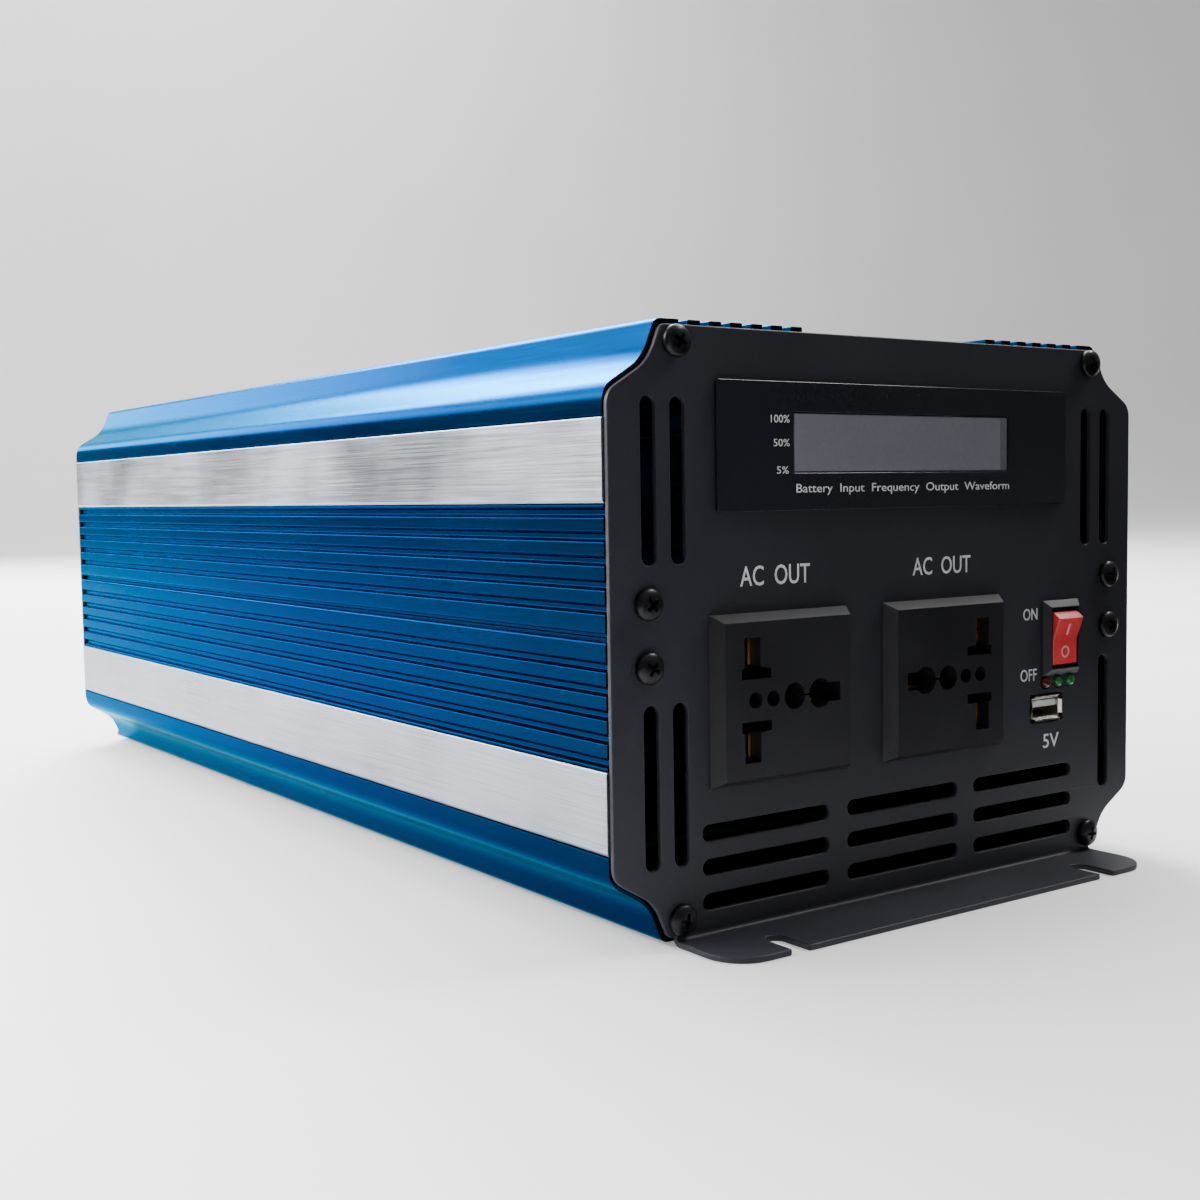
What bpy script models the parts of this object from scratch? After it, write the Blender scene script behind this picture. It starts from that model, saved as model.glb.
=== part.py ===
"""Power inverter: two extruded case halves closed by two folded end plates.

The front plate carries the display, two universal sockets, the power switch, three lamps and a
charging port. The rear plate carries two fans and the battery terminals. Lengths are in metres,
+Z is up, the front plate faces -Y and the origin is centred under the mounting flanges.
"""
import math

import bmesh
import bpy
from mathutils import Matrix, Vector

MM = 0.001
GAP = 0.3 * MM                     # left between pieces that touch

# Driving dimensions of the case
CASE_LENGTH = 407.0 * MM           # front plate's face to rear plate's face
CASE_WIDTH = 187.6 * MM
CASE_HALF_HEIGHT = 72.9 * MM       # plate centre to the top of the fins
SHEET = 1.5 * MM                   # end plates
FLANGE_DEPTH = 21.5 * MM
BEND_RADIUS = 1.0 * MM             # inside of the flange's bend
CENTRE_HEIGHT = 74.0 * MM          # plate centre above the mounting surface

# Case section, from the plate centre
SIDE = CASE_WIDTH / 2
INNER_SIDE = 84.4 * MM
SEAM_LIP = 92.2 * MM
SEAM_HALF_GAP = 0.95 * MM
GROOVE_START = 6.6 * MM
GROOVE_PITCH = 5.5 * MM
GROOVE_COUNT = 5
GROOVE_WIDTH = 2.6 * MM
GROOVE_FLOOR = 1.0 * MM
GROOVE_DEPTH = 1.2 * MM
TRIM_LOW = 30.4 * MM
TRIM_HIGH = 50.5 * MM
TRIM_SEAT = 1.5 * MM
SHOULDER_SIDE = 56.8 * MM
SHOULDER_X = 82.6 * MM
SHOULDER_Z = 63.6 * MM
CROWN_X = 78.8 * MM
FIN_FIRST = 70.4 * MM
FIN_PITCH = 6.4 * MM
FIN_COUNT = 6
FIN_GAP = 2.6 * MM
FIN_FLOOR = 71.6 * MM
PANEL_HALF = 33.3 * MM
PANEL_TOP = 71.4 * MM
PANEL_UNDER = 68.8 * MM
CORNER_PORT = (74.4 * MM, 67.6 * MM)
SIDE_PORT = (83.3 * MM, 7.35 * MM)
PORT_RADIUS = 1.9 * MM
SIDE_BOSS_X = 79.6 * MM            # inner face of the wall round the side port
SIDE_BOSS_HALF = 3.65 * MM
CORNER_BOSS_HALF = 4.2 * MM

# End plate outline, from the plate centre
PLATE_HALF_WIDTH = 93.6 * MM
PLATE_HALF_HEIGHT = 71.5 * MM
FLANGE_HALF_WIDTH = 76.0 * MM
FLANGE_CORNER = 10.0 * MM
NOTCH_X = 56.0 * MM
NOTCH_WIDTH = 5.2 * MM
NOTCH_DEPTH = 11.5 * MM
SCREW_HOLE_RADIUS = 2.3 * MM
VENT_LENGTH = 40.8 * MM
VENT_WIDTH = 4.0 * MM
VENT_COLUMNS = (-47.2 * MM, 0.0, 47.2 * MM)
VENT_TOP_ROW = -48.2 * MM
VENT_PITCH = 8.35 * MM
LOUVRE_WIDTH = 4.3 * MM
LOUVRE_LOW = 16.2 * MM
LOUVRE_HIGH = 55.0 * MM
LOUVRE_OUTER = 82.3 * MM
LOUVRE_INNER = 73.8 * MM

# Fasteners
SCREW_HEAD_RADIUS = 3.8 * MM
SCREW_HEAD_HEIGHT = 2.4 * MM
SCREW_SHANK_RADIUS = 1.5 * MM
SCREW_LENGTH = 12.0 * MM

# Display
BEZEL_HALF_WIDTH = 63.1 * MM
BEZEL_LOW = 28.0 * MM
BEZEL_HIGH = 59.3 * MM
BEZEL_THICKNESS = 1.0 * MM
SCREEN_HALF_WIDTH = 38.7 * MM
SCREEN_LOW = 37.5 * MM
SCREEN_HIGH = 51.65 * MM

# Sockets
SOCKET_LEFT_X = -43.2 * MM
SOCKET_RIGHT_X = 14.1 * MM
SOCKET_Z = -17.0 * MM
SOCKET_FLANGE = (44.6 * MM, 41.6 * MM)
SOCKET_FACE = (40.4 * MM, 37.8 * MM)
SOCKET_RISE = 3.6 * MM
SOCKET_BODY = (38.4 * MM, 34.6 * MM)
SOCKET_DEPTH = 26.0 * MM
PIN_DEPTH = 17.0 * MM
PIN_STEM_WIDTH = 5.0 * MM
PIN_STEM_X = -11.8 * MM
PIN_BAR = (-15.2 * MM, -5.9 * MM)
PIN_BAR_LOW = 5.1 * MM
PIN_BAR_HIGH = 7.6 * MM
PIN_STEM_HIGH = 15.1 * MM
SMALL_PIN_X = (-10.9 * MM, -5.3 * MM)
SMALL_PIN_RADIUS = 2.0 * MM
ROUND_PIN_X = 1.6 * MM
ROUND_PIN_RADIUS = 3.3 * MM
EARTH_PIN_X = 10.0 * MM
EARTH_PIN_RADIUS = 3.7 * MM
EARTH_SLOT_HALF = 2.4 * MM
EARTH_SLOT_END = 16.7 * MM
CONTACT_BACK = 3.5 * MM            # length of a contact at the bottom of its pin hole

# Power switch
SWITCH_X = 62.5 * MM
SWITCH_Z = -9.8 * MM
SWITCH_BEZEL = (15.4 * MM, 21.5 * MM)
SWITCH_RIM = (12.2 * MM, 17.6 * MM)     # front edge of the bezel's slopes
SWITCH_BODY = (12.8 * MM, 18.6 * MM)
SWITCH_WELL = (11.2 * MM, 17.0 * MM)
SWITCH_RISE = 2.0 * MM
SWITCH_DEPTH = 14.0 * MM
ROCKER_WIDTH = 10.4 * MM
ROCKER_RADIUS = 8.2 * MM
ROCKER_PIVOT_DEPTH = 1.6 * MM      # behind the plate's face
ROCKER_TILT = math.radians(10)     # each way from level
ROCKER_TIP = math.radians(36.6)
ROCKER_SKIRT = math.radians(14.4)

# Lamps and charging port
LAMP_X = (56.6 * MM, 61.9 * MM, 67.2 * MM)
LAMP_Z = -22.3 * MM
LAMP_RADIUS = 1.65 * MM
PORT_CENTRE = (57.1 * MM, -29.5 * MM)
PORT_SHELL = (13.2 * MM, 7.2 * MM)
PORT_MOUTH = (12.0 * MM, 5.1 * MM)
PORT_TONGUE = (11.1 * MM, 1.8 * MM)
PORT_LENGTH = 13.4 * MM

# Rear plate
FAN_X = 36.0 * MM
FAN_Z = 22.0 * MM
FAN_SIZE = 60.0 * MM
FAN_DEPTH = 25.0 * MM
FAN_BORE = 28.8 * MM
ROTOR_RADIUS = 27.6 * MM
HUB_RADIUS = 14.0 * MM
BLADE_COUNT = 7
TERMINAL_X = 32.0 * MM
TERMINAL_Z = -38.0 * MM
TERMINAL_BASE_RADIUS = 13.0 * MM
TERMINAL_BASE_RISE = 5.0 * MM
STUD_RADIUS = 4.0 * MM
STUD_OUT = 19.5 * MM
NUT_HEIGHT = 6.5 * MM
LUG_ROOM = 2.6 * MM                # under the nut, for a cable's ring lug

# Inside
BOARD_THICKNESS = 1.6 * MM
BOARD_LEVEL = -63.1 * MM           # underside, from the plate centre
MAIN_BOARD = (152.0 * MM, 310.0 * MM)
DISPLAY_BOARD = (118.0 * MM, 28.0 * MM)
INDICATOR_BOARD = (24.0 * MM, 20.4 * MM)
INDICATOR_CENTRE = (61.5 * MM, -30.0 * MM)


def clear_scene():
    for obj in list(bpy.data.objects):
        bpy.data.objects.remove(obj, do_unlink=True)


def make_collection(name):
    collection = bpy.data.collections.new(name)
    bpy.context.scene.collection.children.link(collection)
    return collection


def make_material(name, colour, roughness, metallic=0.0):
    material = bpy.data.materials.new(name)
    material.use_nodes = True
    shader = material.node_tree.nodes["Principled BSDF"]
    shader.inputs["Base Color"].default_value = (*colour, 1.0)
    shader.inputs["Roughness"].default_value = roughness
    shader.inputs["Metallic"].default_value = metallic
    return material


def make_datum(name, y, turn):
    """An empty at a plate's centre, with +Y pointing into the case."""
    datum = bpy.data.objects.new(name, None)
    datum.location = (0.0, y, CENTRE_HEIGHT)
    datum.rotation_euler = (0.0, 0.0, turn)
    parts.objects.link(datum)
    return datum


def make_piece(name, mesh, material, datum=None, location=(0, 0, 0), smooth=False):
    obj = bpy.data.objects.new(name, mesh)
    parts.objects.link(obj)
    obj.location = location
    obj.parent = datum
    mesh.materials.append(material)
    if smooth:
        mesh.shade_smooth()
        mesh.set_sharp_from_angle(angle=math.radians(35))
    return obj


def add_boolean(obj, mesh, operation="DIFFERENCE"):
    """Cut or join with a mesh given in the same local frame as the object."""
    helper = bpy.data.objects.new(obj.name + "_" + operation.lower(), mesh)
    cutters.objects.link(helper)
    helper.parent = obj
    helper.hide_render = True
    helper.display_type = "WIRE"
    modifier = obj.modifiers.new(operation.title(), "BOOLEAN")
    modifier.operation = operation
    modifier.object = helper


def add_bevel(obj, width, segments=1, angle=40):
    modifier = obj.modifiers.new("Bevel", "BEVEL")
    modifier.width = width
    modifier.segments = segments
    modifier.limit_method = "ANGLE"
    modifier.angle_limit = math.radians(angle)


def mesh_from_bmesh(name, bm):
    bmesh.ops.recalc_face_normals(bm, faces=bm.faces)
    mesh = bpy.data.meshes.new(name)
    bm.to_mesh(mesh)
    bm.free()
    return mesh


def box_mesh(name, size, centre=(0, 0, 0)):
    bm = bmesh.new()
    place = Matrix.Translation(centre) @ Matrix.Diagonal((*size, 1.0))
    bmesh.ops.create_cube(bm, size=1.0, matrix=place)
    return mesh_from_bmesh(name, bm)


def tapered_mesh(name, back, front, y_back, y_front):
    """A block whose back and front faces are (width, height) rectangles."""
    bm = bmesh.new()
    bmesh.ops.create_cube(bm, size=1.0)
    for vertex in bm.verts:
        width, height = back if vertex.co.y > 0 else front
        y = y_back if vertex.co.y > 0 else y_front
        vertex.co = (vertex.co.x * width, y, vertex.co.z * height)
    return mesh_from_bmesh(name, bm)


def cylinder_mesh(name, radius, y_start, y_end, segments=24, centre=(0, 0)):
    """A round bar along Y."""
    bm = bmesh.new()
    middle = Vector((centre[0], (y_start + y_end) / 2, centre[1]))
    place = Matrix.Translation(middle) @ Matrix.Rotation(math.pi / 2, 4, "X")
    bmesh.ops.create_cone(bm, cap_ends=True, segments=segments, radius1=radius, radius2=radius,
                          depth=abs(y_end - y_start), matrix=place)
    return mesh_from_bmesh(name, bm)


def outline_mesh(name, loops, depth, place=None):
    """Flat loops, the first outer and the rest holes, given a thickness about their plane."""
    curve = bpy.data.curves.new(name, "CURVE")
    curve.dimensions = "2D"
    curve.fill_mode = "BOTH"
    curve.extrude = depth / 2
    for loop in loops:
        spline = curve.splines.new("POLY")
        spline.points.add(len(loop) - 1)
        spline.use_cyclic_u = True
        for point, (x, y) in zip(spline.points, loop):
            point.co = (x, y, 0.0, 1.0)
    obj = bpy.data.objects.new(name, curve)
    parts.objects.link(obj)
    graph = bpy.context.evaluated_depsgraph_get()
    flat = bpy.data.meshes.new_from_object(obj.evaluated_get(graph))
    bpy.data.objects.remove(obj)
    bm = bmesh.new()
    bm.from_mesh(flat)
    bpy.data.meshes.remove(flat)
    bmesh.ops.remove_doubles(bm, verts=bm.verts, dist=0.00001)
    if place is not None:
        bmesh.ops.transform(bm, matrix=place, verts=bm.verts)
    return mesh_from_bmesh(name, bm)


def turned_piece(name, profile, material, segments, datum=None, location=(0, 0, 0)):
    """A profile of (radius, depth) points turned about the depth axis, which becomes Y."""
    bm = bmesh.new()
    vertices = [bm.verts.new((radius, 0.0, -depth)) for radius, depth in profile]
    for first, second in zip(vertices, vertices[1:]):
        bm.edges.new((first, second))
    if profile[0][0] > 0:
        bm.edges.new((vertices[-1], vertices[0]))
    mesh = bpy.data.meshes.new(name)
    bm.to_mesh(mesh)
    bm.free()
    obj = make_piece(name, mesh, material, datum, location)
    obj.rotation_euler = (math.pi / 2, 0.0, 0.0)
    screw = obj.modifiers.new("Screw", "SCREW")
    screw.axis = "Z"
    screw.steps = segments
    screw.render_steps = segments
    screw.use_merge_vertices = True
    screw.merge_threshold = 0.00001
    screw.use_smooth_shade = True
    return obj


def circle(radius, segments=16, centre=(0.0, 0.0)):
    step = 2 * math.pi / segments
    return [(centre[0] + radius * math.cos(i * step), centre[1] + radius * math.sin(i * step))
            for i in range(segments)]


def arc(radius, start, end, steps, centre=(0.0, 0.0)):
    turn = (end - start) / steps
    return [(centre[0] + radius * math.cos(start + i * turn),
             centre[1] + radius * math.sin(start + i * turn)) for i in range(steps + 1)]


def rectangle(width, height, centre=(0.0, 0.0)):
    x, y = centre
    return [(x - width / 2, y - height / 2), (x + width / 2, y - height / 2),
            (x + width / 2, y + height / 2), (x - width / 2, y + height / 2)]


def slot(length, width, centre, upright=False, steps=5):
    """A long hole with round ends."""
    reach = (length - width) / 2
    ends = arc(width / 2, -math.pi / 2, math.pi / 2, steps, (reach, 0.0))
    ends += arc(width / 2, math.pi / 2, 3 * math.pi / 2, steps, (-reach, 0.0))
    if upright:
        ends = [(-y, x) for x, y in ends]
    return [(centre[0] + x, centre[1] + y) for x, y in ends]


def rounded(corners, steps=4):
    """Points of a polygon given as (x, y, radius) corners; radius 0 keeps a corner sharp."""
    points = []
    for i, (x, y, radius) in enumerate(corners):
        corner = Vector((x, y))
        if radius == 0:
            points.append((x, y))
            continue
        before = (Vector(corners[i - 1][:2]) - corner).normalized()
        after = (Vector(corners[(i + 1) % len(corners)][:2]) - corner).normalized()
        half = before.angle(after) / 2
        centre = corner + (before + after).normalized() * (radius / math.sin(half))
        start = corner + before * (radius / math.tan(half)) - centre
        end = corner + after * (radius / math.tan(half)) - centre
        start_angle = math.atan2(start.y, start.x)
        turn = (math.atan2(end.y, end.x) - start_angle + math.pi) % (2 * math.pi) - math.pi
        points += arc(radius, start_angle, start_angle + turn, steps, tuple(centre))
    return points


def mirrored(corners):
    return [(-x, y, radius) for x, y, radius in reversed(corners)]


UPRIGHT = Matrix.Rotation(math.pi / 2, 4, "X")      # a flat outline stands up facing -Y


def side_grooves():
    corners = []
    for i in range(GROOVE_COUNT):
        middle = GROOVE_START + i * GROOVE_PITCH
        corners += [(SIDE, middle - GROOVE_WIDTH / 2, 0),
                    (SIDE - GROOVE_DEPTH, middle - GROOVE_FLOOR / 2, 0),
                    (SIDE - GROOVE_DEPTH, middle + GROOVE_FLOOR / 2, 0),
                    (SIDE, middle + GROOVE_WIDTH / 2, 0)]
    return corners


def top_fins():
    corners = []
    for i in range(FIN_COUNT):
        middle = FIN_FIRST - i * FIN_PITCH
        corners += [(middle + FIN_GAP / 2, CASE_HALF_HEIGHT, 0),
                    (middle + FIN_GAP / 2, FIN_FLOOR, 0),
                    (middle - FIN_GAP / 2, FIN_FLOOR, 0),
                    (middle - FIN_GAP / 2, CASE_HALF_HEIGHT, 0)]
    return corners


def shell_section():
    """Loops of the upper case half: the wall, its side chambers and its screw ports."""
    outer = [(SEAM_LIP, GAP / 2, 0), (SEAM_LIP, SEAM_HALF_GAP, 0), (SIDE, SEAM_HALF_GAP, 0.4 * MM)]
    outer += side_grooves()
    outer += [(SIDE, TRIM_LOW, 0), (SIDE - TRIM_SEAT, TRIM_LOW, 0),
              (SIDE - TRIM_SEAT, TRIM_HIGH, 0), (SIDE, TRIM_HIGH, 0),
              (SIDE, SHOULDER_SIDE, 5.5 * MM), (SHOULDER_X, SHOULDER_Z, 12 * MM),
              (CROWN_X, CASE_HALF_HEIGHT, 2.5 * MM)]
    outer += top_fins()
    outer += [(PANEL_HALF, CASE_HALF_HEIGHT, 0), (PANEL_HALF, PANEL_TOP, 0)]
    boss_x, boss_z = CORNER_PORT
    boss_low = boss_z - CORNER_BOSS_HALF
    boss_in = boss_x - CORNER_BOSS_HALF
    side_low = SIDE_PORT[1] - SIDE_BOSS_HALF
    side_high = SIDE_PORT[1] + SIDE_BOSS_HALF
    inner = [(INNER_SIDE, GAP / 2, 0), (INNER_SIDE, side_low, 0),
             (SIDE_BOSS_X, side_low, 1.5 * MM), (SIDE_BOSS_X, side_high, 1.5 * MM),
             (INNER_SIDE, side_high, 0), (INNER_SIDE, 56.5 * MM, 4 * MM),
             (boss_x + 4 * MM, boss_low, 2 * MM), (boss_in, boss_low, 1 * MM),
             (boss_in, PANEL_UNDER, 0)]
    wall = rounded(outer + mirrored(outer) + [(-x, y, r) for x, y, r in inner] + inner[::-1])
    chamber = [(86.2 * MM, 13.0 * MM, 1 * MM), (90.6 * MM, 13.0 * MM, 1 * MM),
               (90.6 * MM, 53.5 * MM, 2 * MM), (86.2 * MM, 56.0 * MM, 1 * MM)]
    loops = [wall]
    for side in (1, -1):
        loops.append(rounded([(side * x, y, r) for x, y, r in chamber], 2))
        loops.append(circle(PORT_RADIUS, 8, (side * CORNER_PORT[0], CORNER_PORT[1])))
        loops.append(circle(PORT_RADIUS, 8, (side * SIDE_PORT[0], SIDE_PORT[1])))
    return loops


def build_case():
    length = CASE_LENGTH - 2 * (SHEET + GAP)
    for name, turn in (("upper_shell", 0.0), ("lower_shell", math.pi)):
        mesh = outline_mesh(name, shell_section(), length, UPRIGHT)
        shell = make_piece(name, mesh, blue_aluminium, None, (0, 0, CENTRE_HEIGHT), True)
        shell.rotation_euler = (0.0, turn, 0.0)
    thickness = TRIM_SEAT
    height = TRIM_HIGH - TRIM_LOW - 2 * GAP
    x = SIDE - TRIM_SEAT + GAP + thickness / 2
    for level, up in (("upper", 1), ("lower", -1)):
        for side, way in (("left", -1), ("right", 1)):
            name = f"trim_strip_{level}_{side}"
            mesh = box_mesh(name, (thickness, length, height))
            z = CENTRE_HEIGHT + up * (TRIM_LOW + TRIM_HIGH) / 2
            strip = make_piece(name, mesh, brushed_aluminium, None, (way * x, 0, z))
            add_bevel(strip, 0.3 * MM)


def plate_outline():
    """The flat blank: the plate, and below its bend line the flange laid flat."""
    bend_line = CENTRE_HEIGHT - SHEET - BEND_RADIUS
    bend_length = math.pi / 2 * (BEND_RADIUS + SHEET / 2)
    edge = -bend_line - bend_length - (FLANGE_DEPTH - BEND_RADIUS)
    notch_end = edge + NOTCH_DEPTH
    half = NOTCH_WIDTH / 2
    corner = [(PLATE_HALF_WIDTH, 55.8 * MM, 5 * MM), (81.8 * MM, 62.9 * MM, 12 * MM),
              (78.2 * MM, PLATE_HALF_HEIGHT, 2 * MM)]
    right = [(FLANGE_HALF_WIDTH, -PLATE_HALF_HEIGHT, 0)]
    right += [(x, -y, radius) for x, y, radius in reversed(corner)] + corner
    flange = [(NOTCH_X - half, edge, 0.8 * MM), (NOTCH_X - half, notch_end, half * 0.99),
              (NOTCH_X + half, notch_end, half * 0.99), (NOTCH_X + half, edge, 0.8 * MM),
              (FLANGE_HALF_WIDTH, edge, FLANGE_CORNER)]
    right = flange + right
    return rounded(right + mirrored(right))


def screw_places():
    return [(across * x, up * z) for x, z in (CORNER_PORT, SIDE_PORT)
            for across in (-1, 1) for up in (1, -1)]


def louvres(places):
    middle = (LOUVRE_LOW + LOUVRE_HIGH) / 2
    length = LOUVRE_HIGH - LOUVRE_LOW
    return [slot(length, LOUVRE_WIDTH, (x, up * middle), True) for x, up in places]


def folded_plate(name, holes, datum):
    """Cuts the blank and folds its flange forward along the bend line."""
    mesh = outline_mesh(name, [plate_outline()] + holes, SHEET, UPRIGHT)
    bend_line = -(CENTRE_HEIGHT - SHEET - BEND_RADIUS)
    bend_length = math.pi / 2 * (BEND_RADIUS + SHEET / 2)
    steps = 4
    bm = bmesh.new()
    bm.from_mesh(mesh)
    for i in range(steps + 1):
        level = Vector((0, 0, bend_line - bend_length * i / steps))
        geometry = bm.verts[:] + bm.edges[:] + bm.faces[:]
        bmesh.ops.bisect_plane(bm, geom=geometry, plane_co=level, plane_no=(0, 0, 1), dist=1e-7)
    for vertex in bm.verts:
        depth = vertex.co.y + SHEET / 2
        below = bend_line - vertex.co.z
        radius = BEND_RADIUS + depth
        angle = min(max(below / bend_length, 0.0), 1.0) * math.pi / 2
        if below <= 0:
            vertex.co.y = depth
            continue
        vertex.co.y = radius * math.cos(angle) - BEND_RADIUS - max(below - bend_length, 0.0)
        vertex.co.z = bend_line - radius * math.sin(angle)
    bm.to_mesh(mesh)
    bm.free()
    return make_piece(name, mesh, black_steel, datum)


def front_holes():
    holes = [circle(SCREW_HOLE_RADIUS, 12, place) for place in screw_places()]
    holes += louvres([(x, up) for x in (-LOUVRE_OUTER, -LOUVRE_INNER, LOUVRE_OUTER)
                      for up in (1, -1)] + [(LOUVRE_INNER, 1)])
    for row in range(3):
        z = VENT_TOP_ROW - row * VENT_PITCH
        holes += [slot(VENT_LENGTH, VENT_WIDTH, (x, z)) for x in VENT_COLUMNS]
    clearance = 0.8 * MM
    for x in (SOCKET_LEFT_X, SOCKET_RIGHT_X):
        holes.append(rectangle(SOCKET_BODY[0] + clearance, SOCKET_BODY[1] + clearance,
                               (x, SOCKET_Z)))
    holes.append(rectangle(SWITCH_BODY[0] + clearance, SWITCH_BODY[1] + clearance,
                           (SWITCH_X, SWITCH_Z)))
    holes.append(rectangle(PORT_SHELL[0] + clearance, PORT_SHELL[1] + clearance, PORT_CENTRE))
    holes += [circle(LAMP_RADIUS + GAP, 12, (x, LAMP_Z)) for x in LAMP_X]
    screen_middle = (SCREEN_LOW + SCREEN_HIGH) / 2
    screen_height = SCREEN_HIGH - SCREEN_LOW
    holes.append(rectangle(2 * SCREEN_HALF_WIDTH + 4 * MM, screen_height + 4 * MM,
                           (0.0, screen_middle)))
    return holes


def rear_holes():
    holes = [circle(SCREW_HOLE_RADIUS, 12, place) for place in screw_places()]
    holes += louvres([(across * x, up) for x in (LOUVRE_OUTER, LOUVRE_INNER)
                      for across in (1, -1) for up in (1, -1)])
    for across in (1, -1):
        holes.append(circle(FAN_BORE, 32, (across * FAN_X, FAN_Z)))
        holes.append(circle(7.3 * MM, 16, (across * TERMINAL_X, TERMINAL_Z)))
    return holes


def build_screws(end, datum):
    """Pan-head screws through the plate into the ports of the case halves."""
    height, radius = SCREW_HEAD_HEIGHT, SCREW_HEAD_RADIUS
    profile = [(0.0, -GAP - height), (0.6 * radius, -GAP - 0.92 * height),
               (0.9 * radius, -GAP - 0.6 * height), (radius, -GAP - 0.2 * height), (radius, -GAP),
               (SCREW_SHANK_RADIUS, -GAP), (SCREW_SHANK_RADIUS, SCREW_LENGTH - 1.5 * MM),
               (0.0, SCREW_LENGTH)]
    for number, (x, z) in enumerate(screw_places(), 1):
        turned_piece(f"{end}_screw_{number}", profile, black_screw, 12, datum, (x, 0.0, z))


def build_display(datum):
    middle = (BEZEL_LOW + BEZEL_HIGH) / 2
    height = BEZEL_HIGH - BEZEL_LOW
    screen_middle = (SCREEN_LOW + SCREEN_HIGH) / 2
    screen = (2 * SCREEN_HALF_WIDTH, SCREEN_HIGH - SCREEN_LOW)
    outline = rounded([(x, y, 0.8 * MM) for x, y in
                       rectangle(2 * BEZEL_HALF_WIDTH, height, (0.0, middle))], 3)
    opening = rectangle(screen[0] + 2 * GAP, screen[1] + 2 * GAP, (0.0, screen_middle))
    mesh = outline_mesh("display_bezel", [outline, opening], BEZEL_THICKNESS, UPRIGHT)
    make_piece("display_bezel", mesh, gloss_black, datum, (0, -GAP - BEZEL_THICKNESS / 2, 0))
    front = -GAP - BEZEL_THICKNESS + 0.15 * MM
    depth = 5.0 * MM
    mesh = box_mesh("lcd_module", (screen[0], depth, screen[1]))
    make_piece("lcd_module", mesh, screen_glass, datum, (0, front + depth / 2, screen_middle))
    board_y = front + depth + GAP + BOARD_THICKNESS / 2
    mesh = box_mesh("display_board", (DISPLAY_BOARD[0], BOARD_THICKNESS, DISPLAY_BOARD[1]))
    make_piece("display_board", mesh, board_green, datum, (0, board_y, screen_middle))


def pin_holes(turn):
    """Loops of the pin holes of a socket about its centre, turned end for end by turn = -1."""
    stem = PIN_STEM_WIDTH / 2
    shoulder = PIN_BAR_HIGH + 0.3 * MM
    blade = [(PIN_BAR[0], PIN_BAR_LOW), (PIN_BAR[1], PIN_BAR_LOW), (PIN_BAR[1], PIN_BAR_HIGH),
             (PIN_STEM_X + stem, shoulder), (PIN_STEM_X + stem, PIN_STEM_HIGH),
             (PIN_STEM_X - stem, PIN_STEM_HIGH), (PIN_STEM_X - stem, shoulder),
             (PIN_BAR[0], PIN_BAR_HIGH)]
    mouth = math.asin(EARTH_SLOT_HALF / EARTH_PIN_RADIUS)
    earth = arc(EARTH_PIN_RADIUS, mouth, 2 * math.pi - mouth, 12, (EARTH_PIN_X, 0.0))
    earth += [(EARTH_SLOT_END, -EARTH_SLOT_HALF), (EARTH_SLOT_END, EARTH_SLOT_HALF)]
    loops = [blade, [(x, -y) for x, y in blade], earth,
             circle(ROUND_PIN_RADIUS, 16, (ROUND_PIN_X, 0.0))]
    loops += [circle(SMALL_PIN_RADIUS, 12, (x, 0.0)) for x in SMALL_PIN_X]
    return [[(turn * x, y) for x, y in loop] for loop in loops]


def build_socket(side, x, turn, datum):
    """A universal socket with its line, neutral and earth contacts."""
    name = f"ac_socket_{side}"
    face = -GAP - SOCKET_RISE
    mesh = tapered_mesh(name, SOCKET_FLANGE, SOCKET_FACE, -GAP, face)
    socket = make_piece(name, mesh, black_plastic, datum, (x, 0.0, SOCKET_Z))
    size = (SOCKET_BODY[0], SOCKET_DEPTH + 2 * MM, SOCKET_BODY[1])
    body = box_mesh(name + "_body", size, (0.0, SOCKET_DEPTH / 2 - 1 * MM, 0.0))
    add_boolean(socket, body, "UNION")
    place = Matrix.Translation((0.0, face + PIN_DEPTH / 2 - 1 * MM, 0.0)) @ UPRIGHT
    holes = outline_mesh(name + "_pins", pin_holes(turn), PIN_DEPTH + 2 * MM, place)
    add_boolean(socket, holes)
    floor = face + PIN_DEPTH
    y = floor - GAP - CONTACT_BACK / 2
    stem_middle = (PIN_BAR_HIGH + PIN_STEM_HIGH) / 2
    contacts = {"line": (PIN_STEM_X, stem_middle, 4.2 * MM, 6.4 * MM),
                "neutral": (PIN_STEM_X, -stem_middle, 4.2 * MM, 6.4 * MM),
                "earth": (EARTH_PIN_X, 0.0, 4.2 * MM, 5.0 * MM)}
    for kind, (across, up, width, height) in contacts.items():
        contact = f"socket_{side}_{kind}_contact"
        mesh = box_mesh(contact, (width, CONTACT_BACK, height))
        make_piece(contact, mesh, brass, datum, (x + turn * across, y, SOCKET_Z + up))


def rocker_outline():
    """Side view of the level rocker about its pivot: (outwards, up) points."""
    radius = ROCKER_RADIUS
    tip = (radius * math.cos(ROCKER_TIP), radius * math.sin(ROCKER_TIP))
    valley = tip[1] - tip[0] * math.tan(ROCKER_TILT)
    up_end = arc(radius, ROCKER_TIP, ROCKER_SKIRT, 4)
    down_end = [(-up, out) for up, out in reversed(up_end)]
    skirt = [(4.5 * MM, -1.0 * MM), (-4.5 * MM, -1.0 * MM)]
    return [(out, up) for up, out in [(0.0, valley)] + up_end + skirt + down_end]


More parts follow.
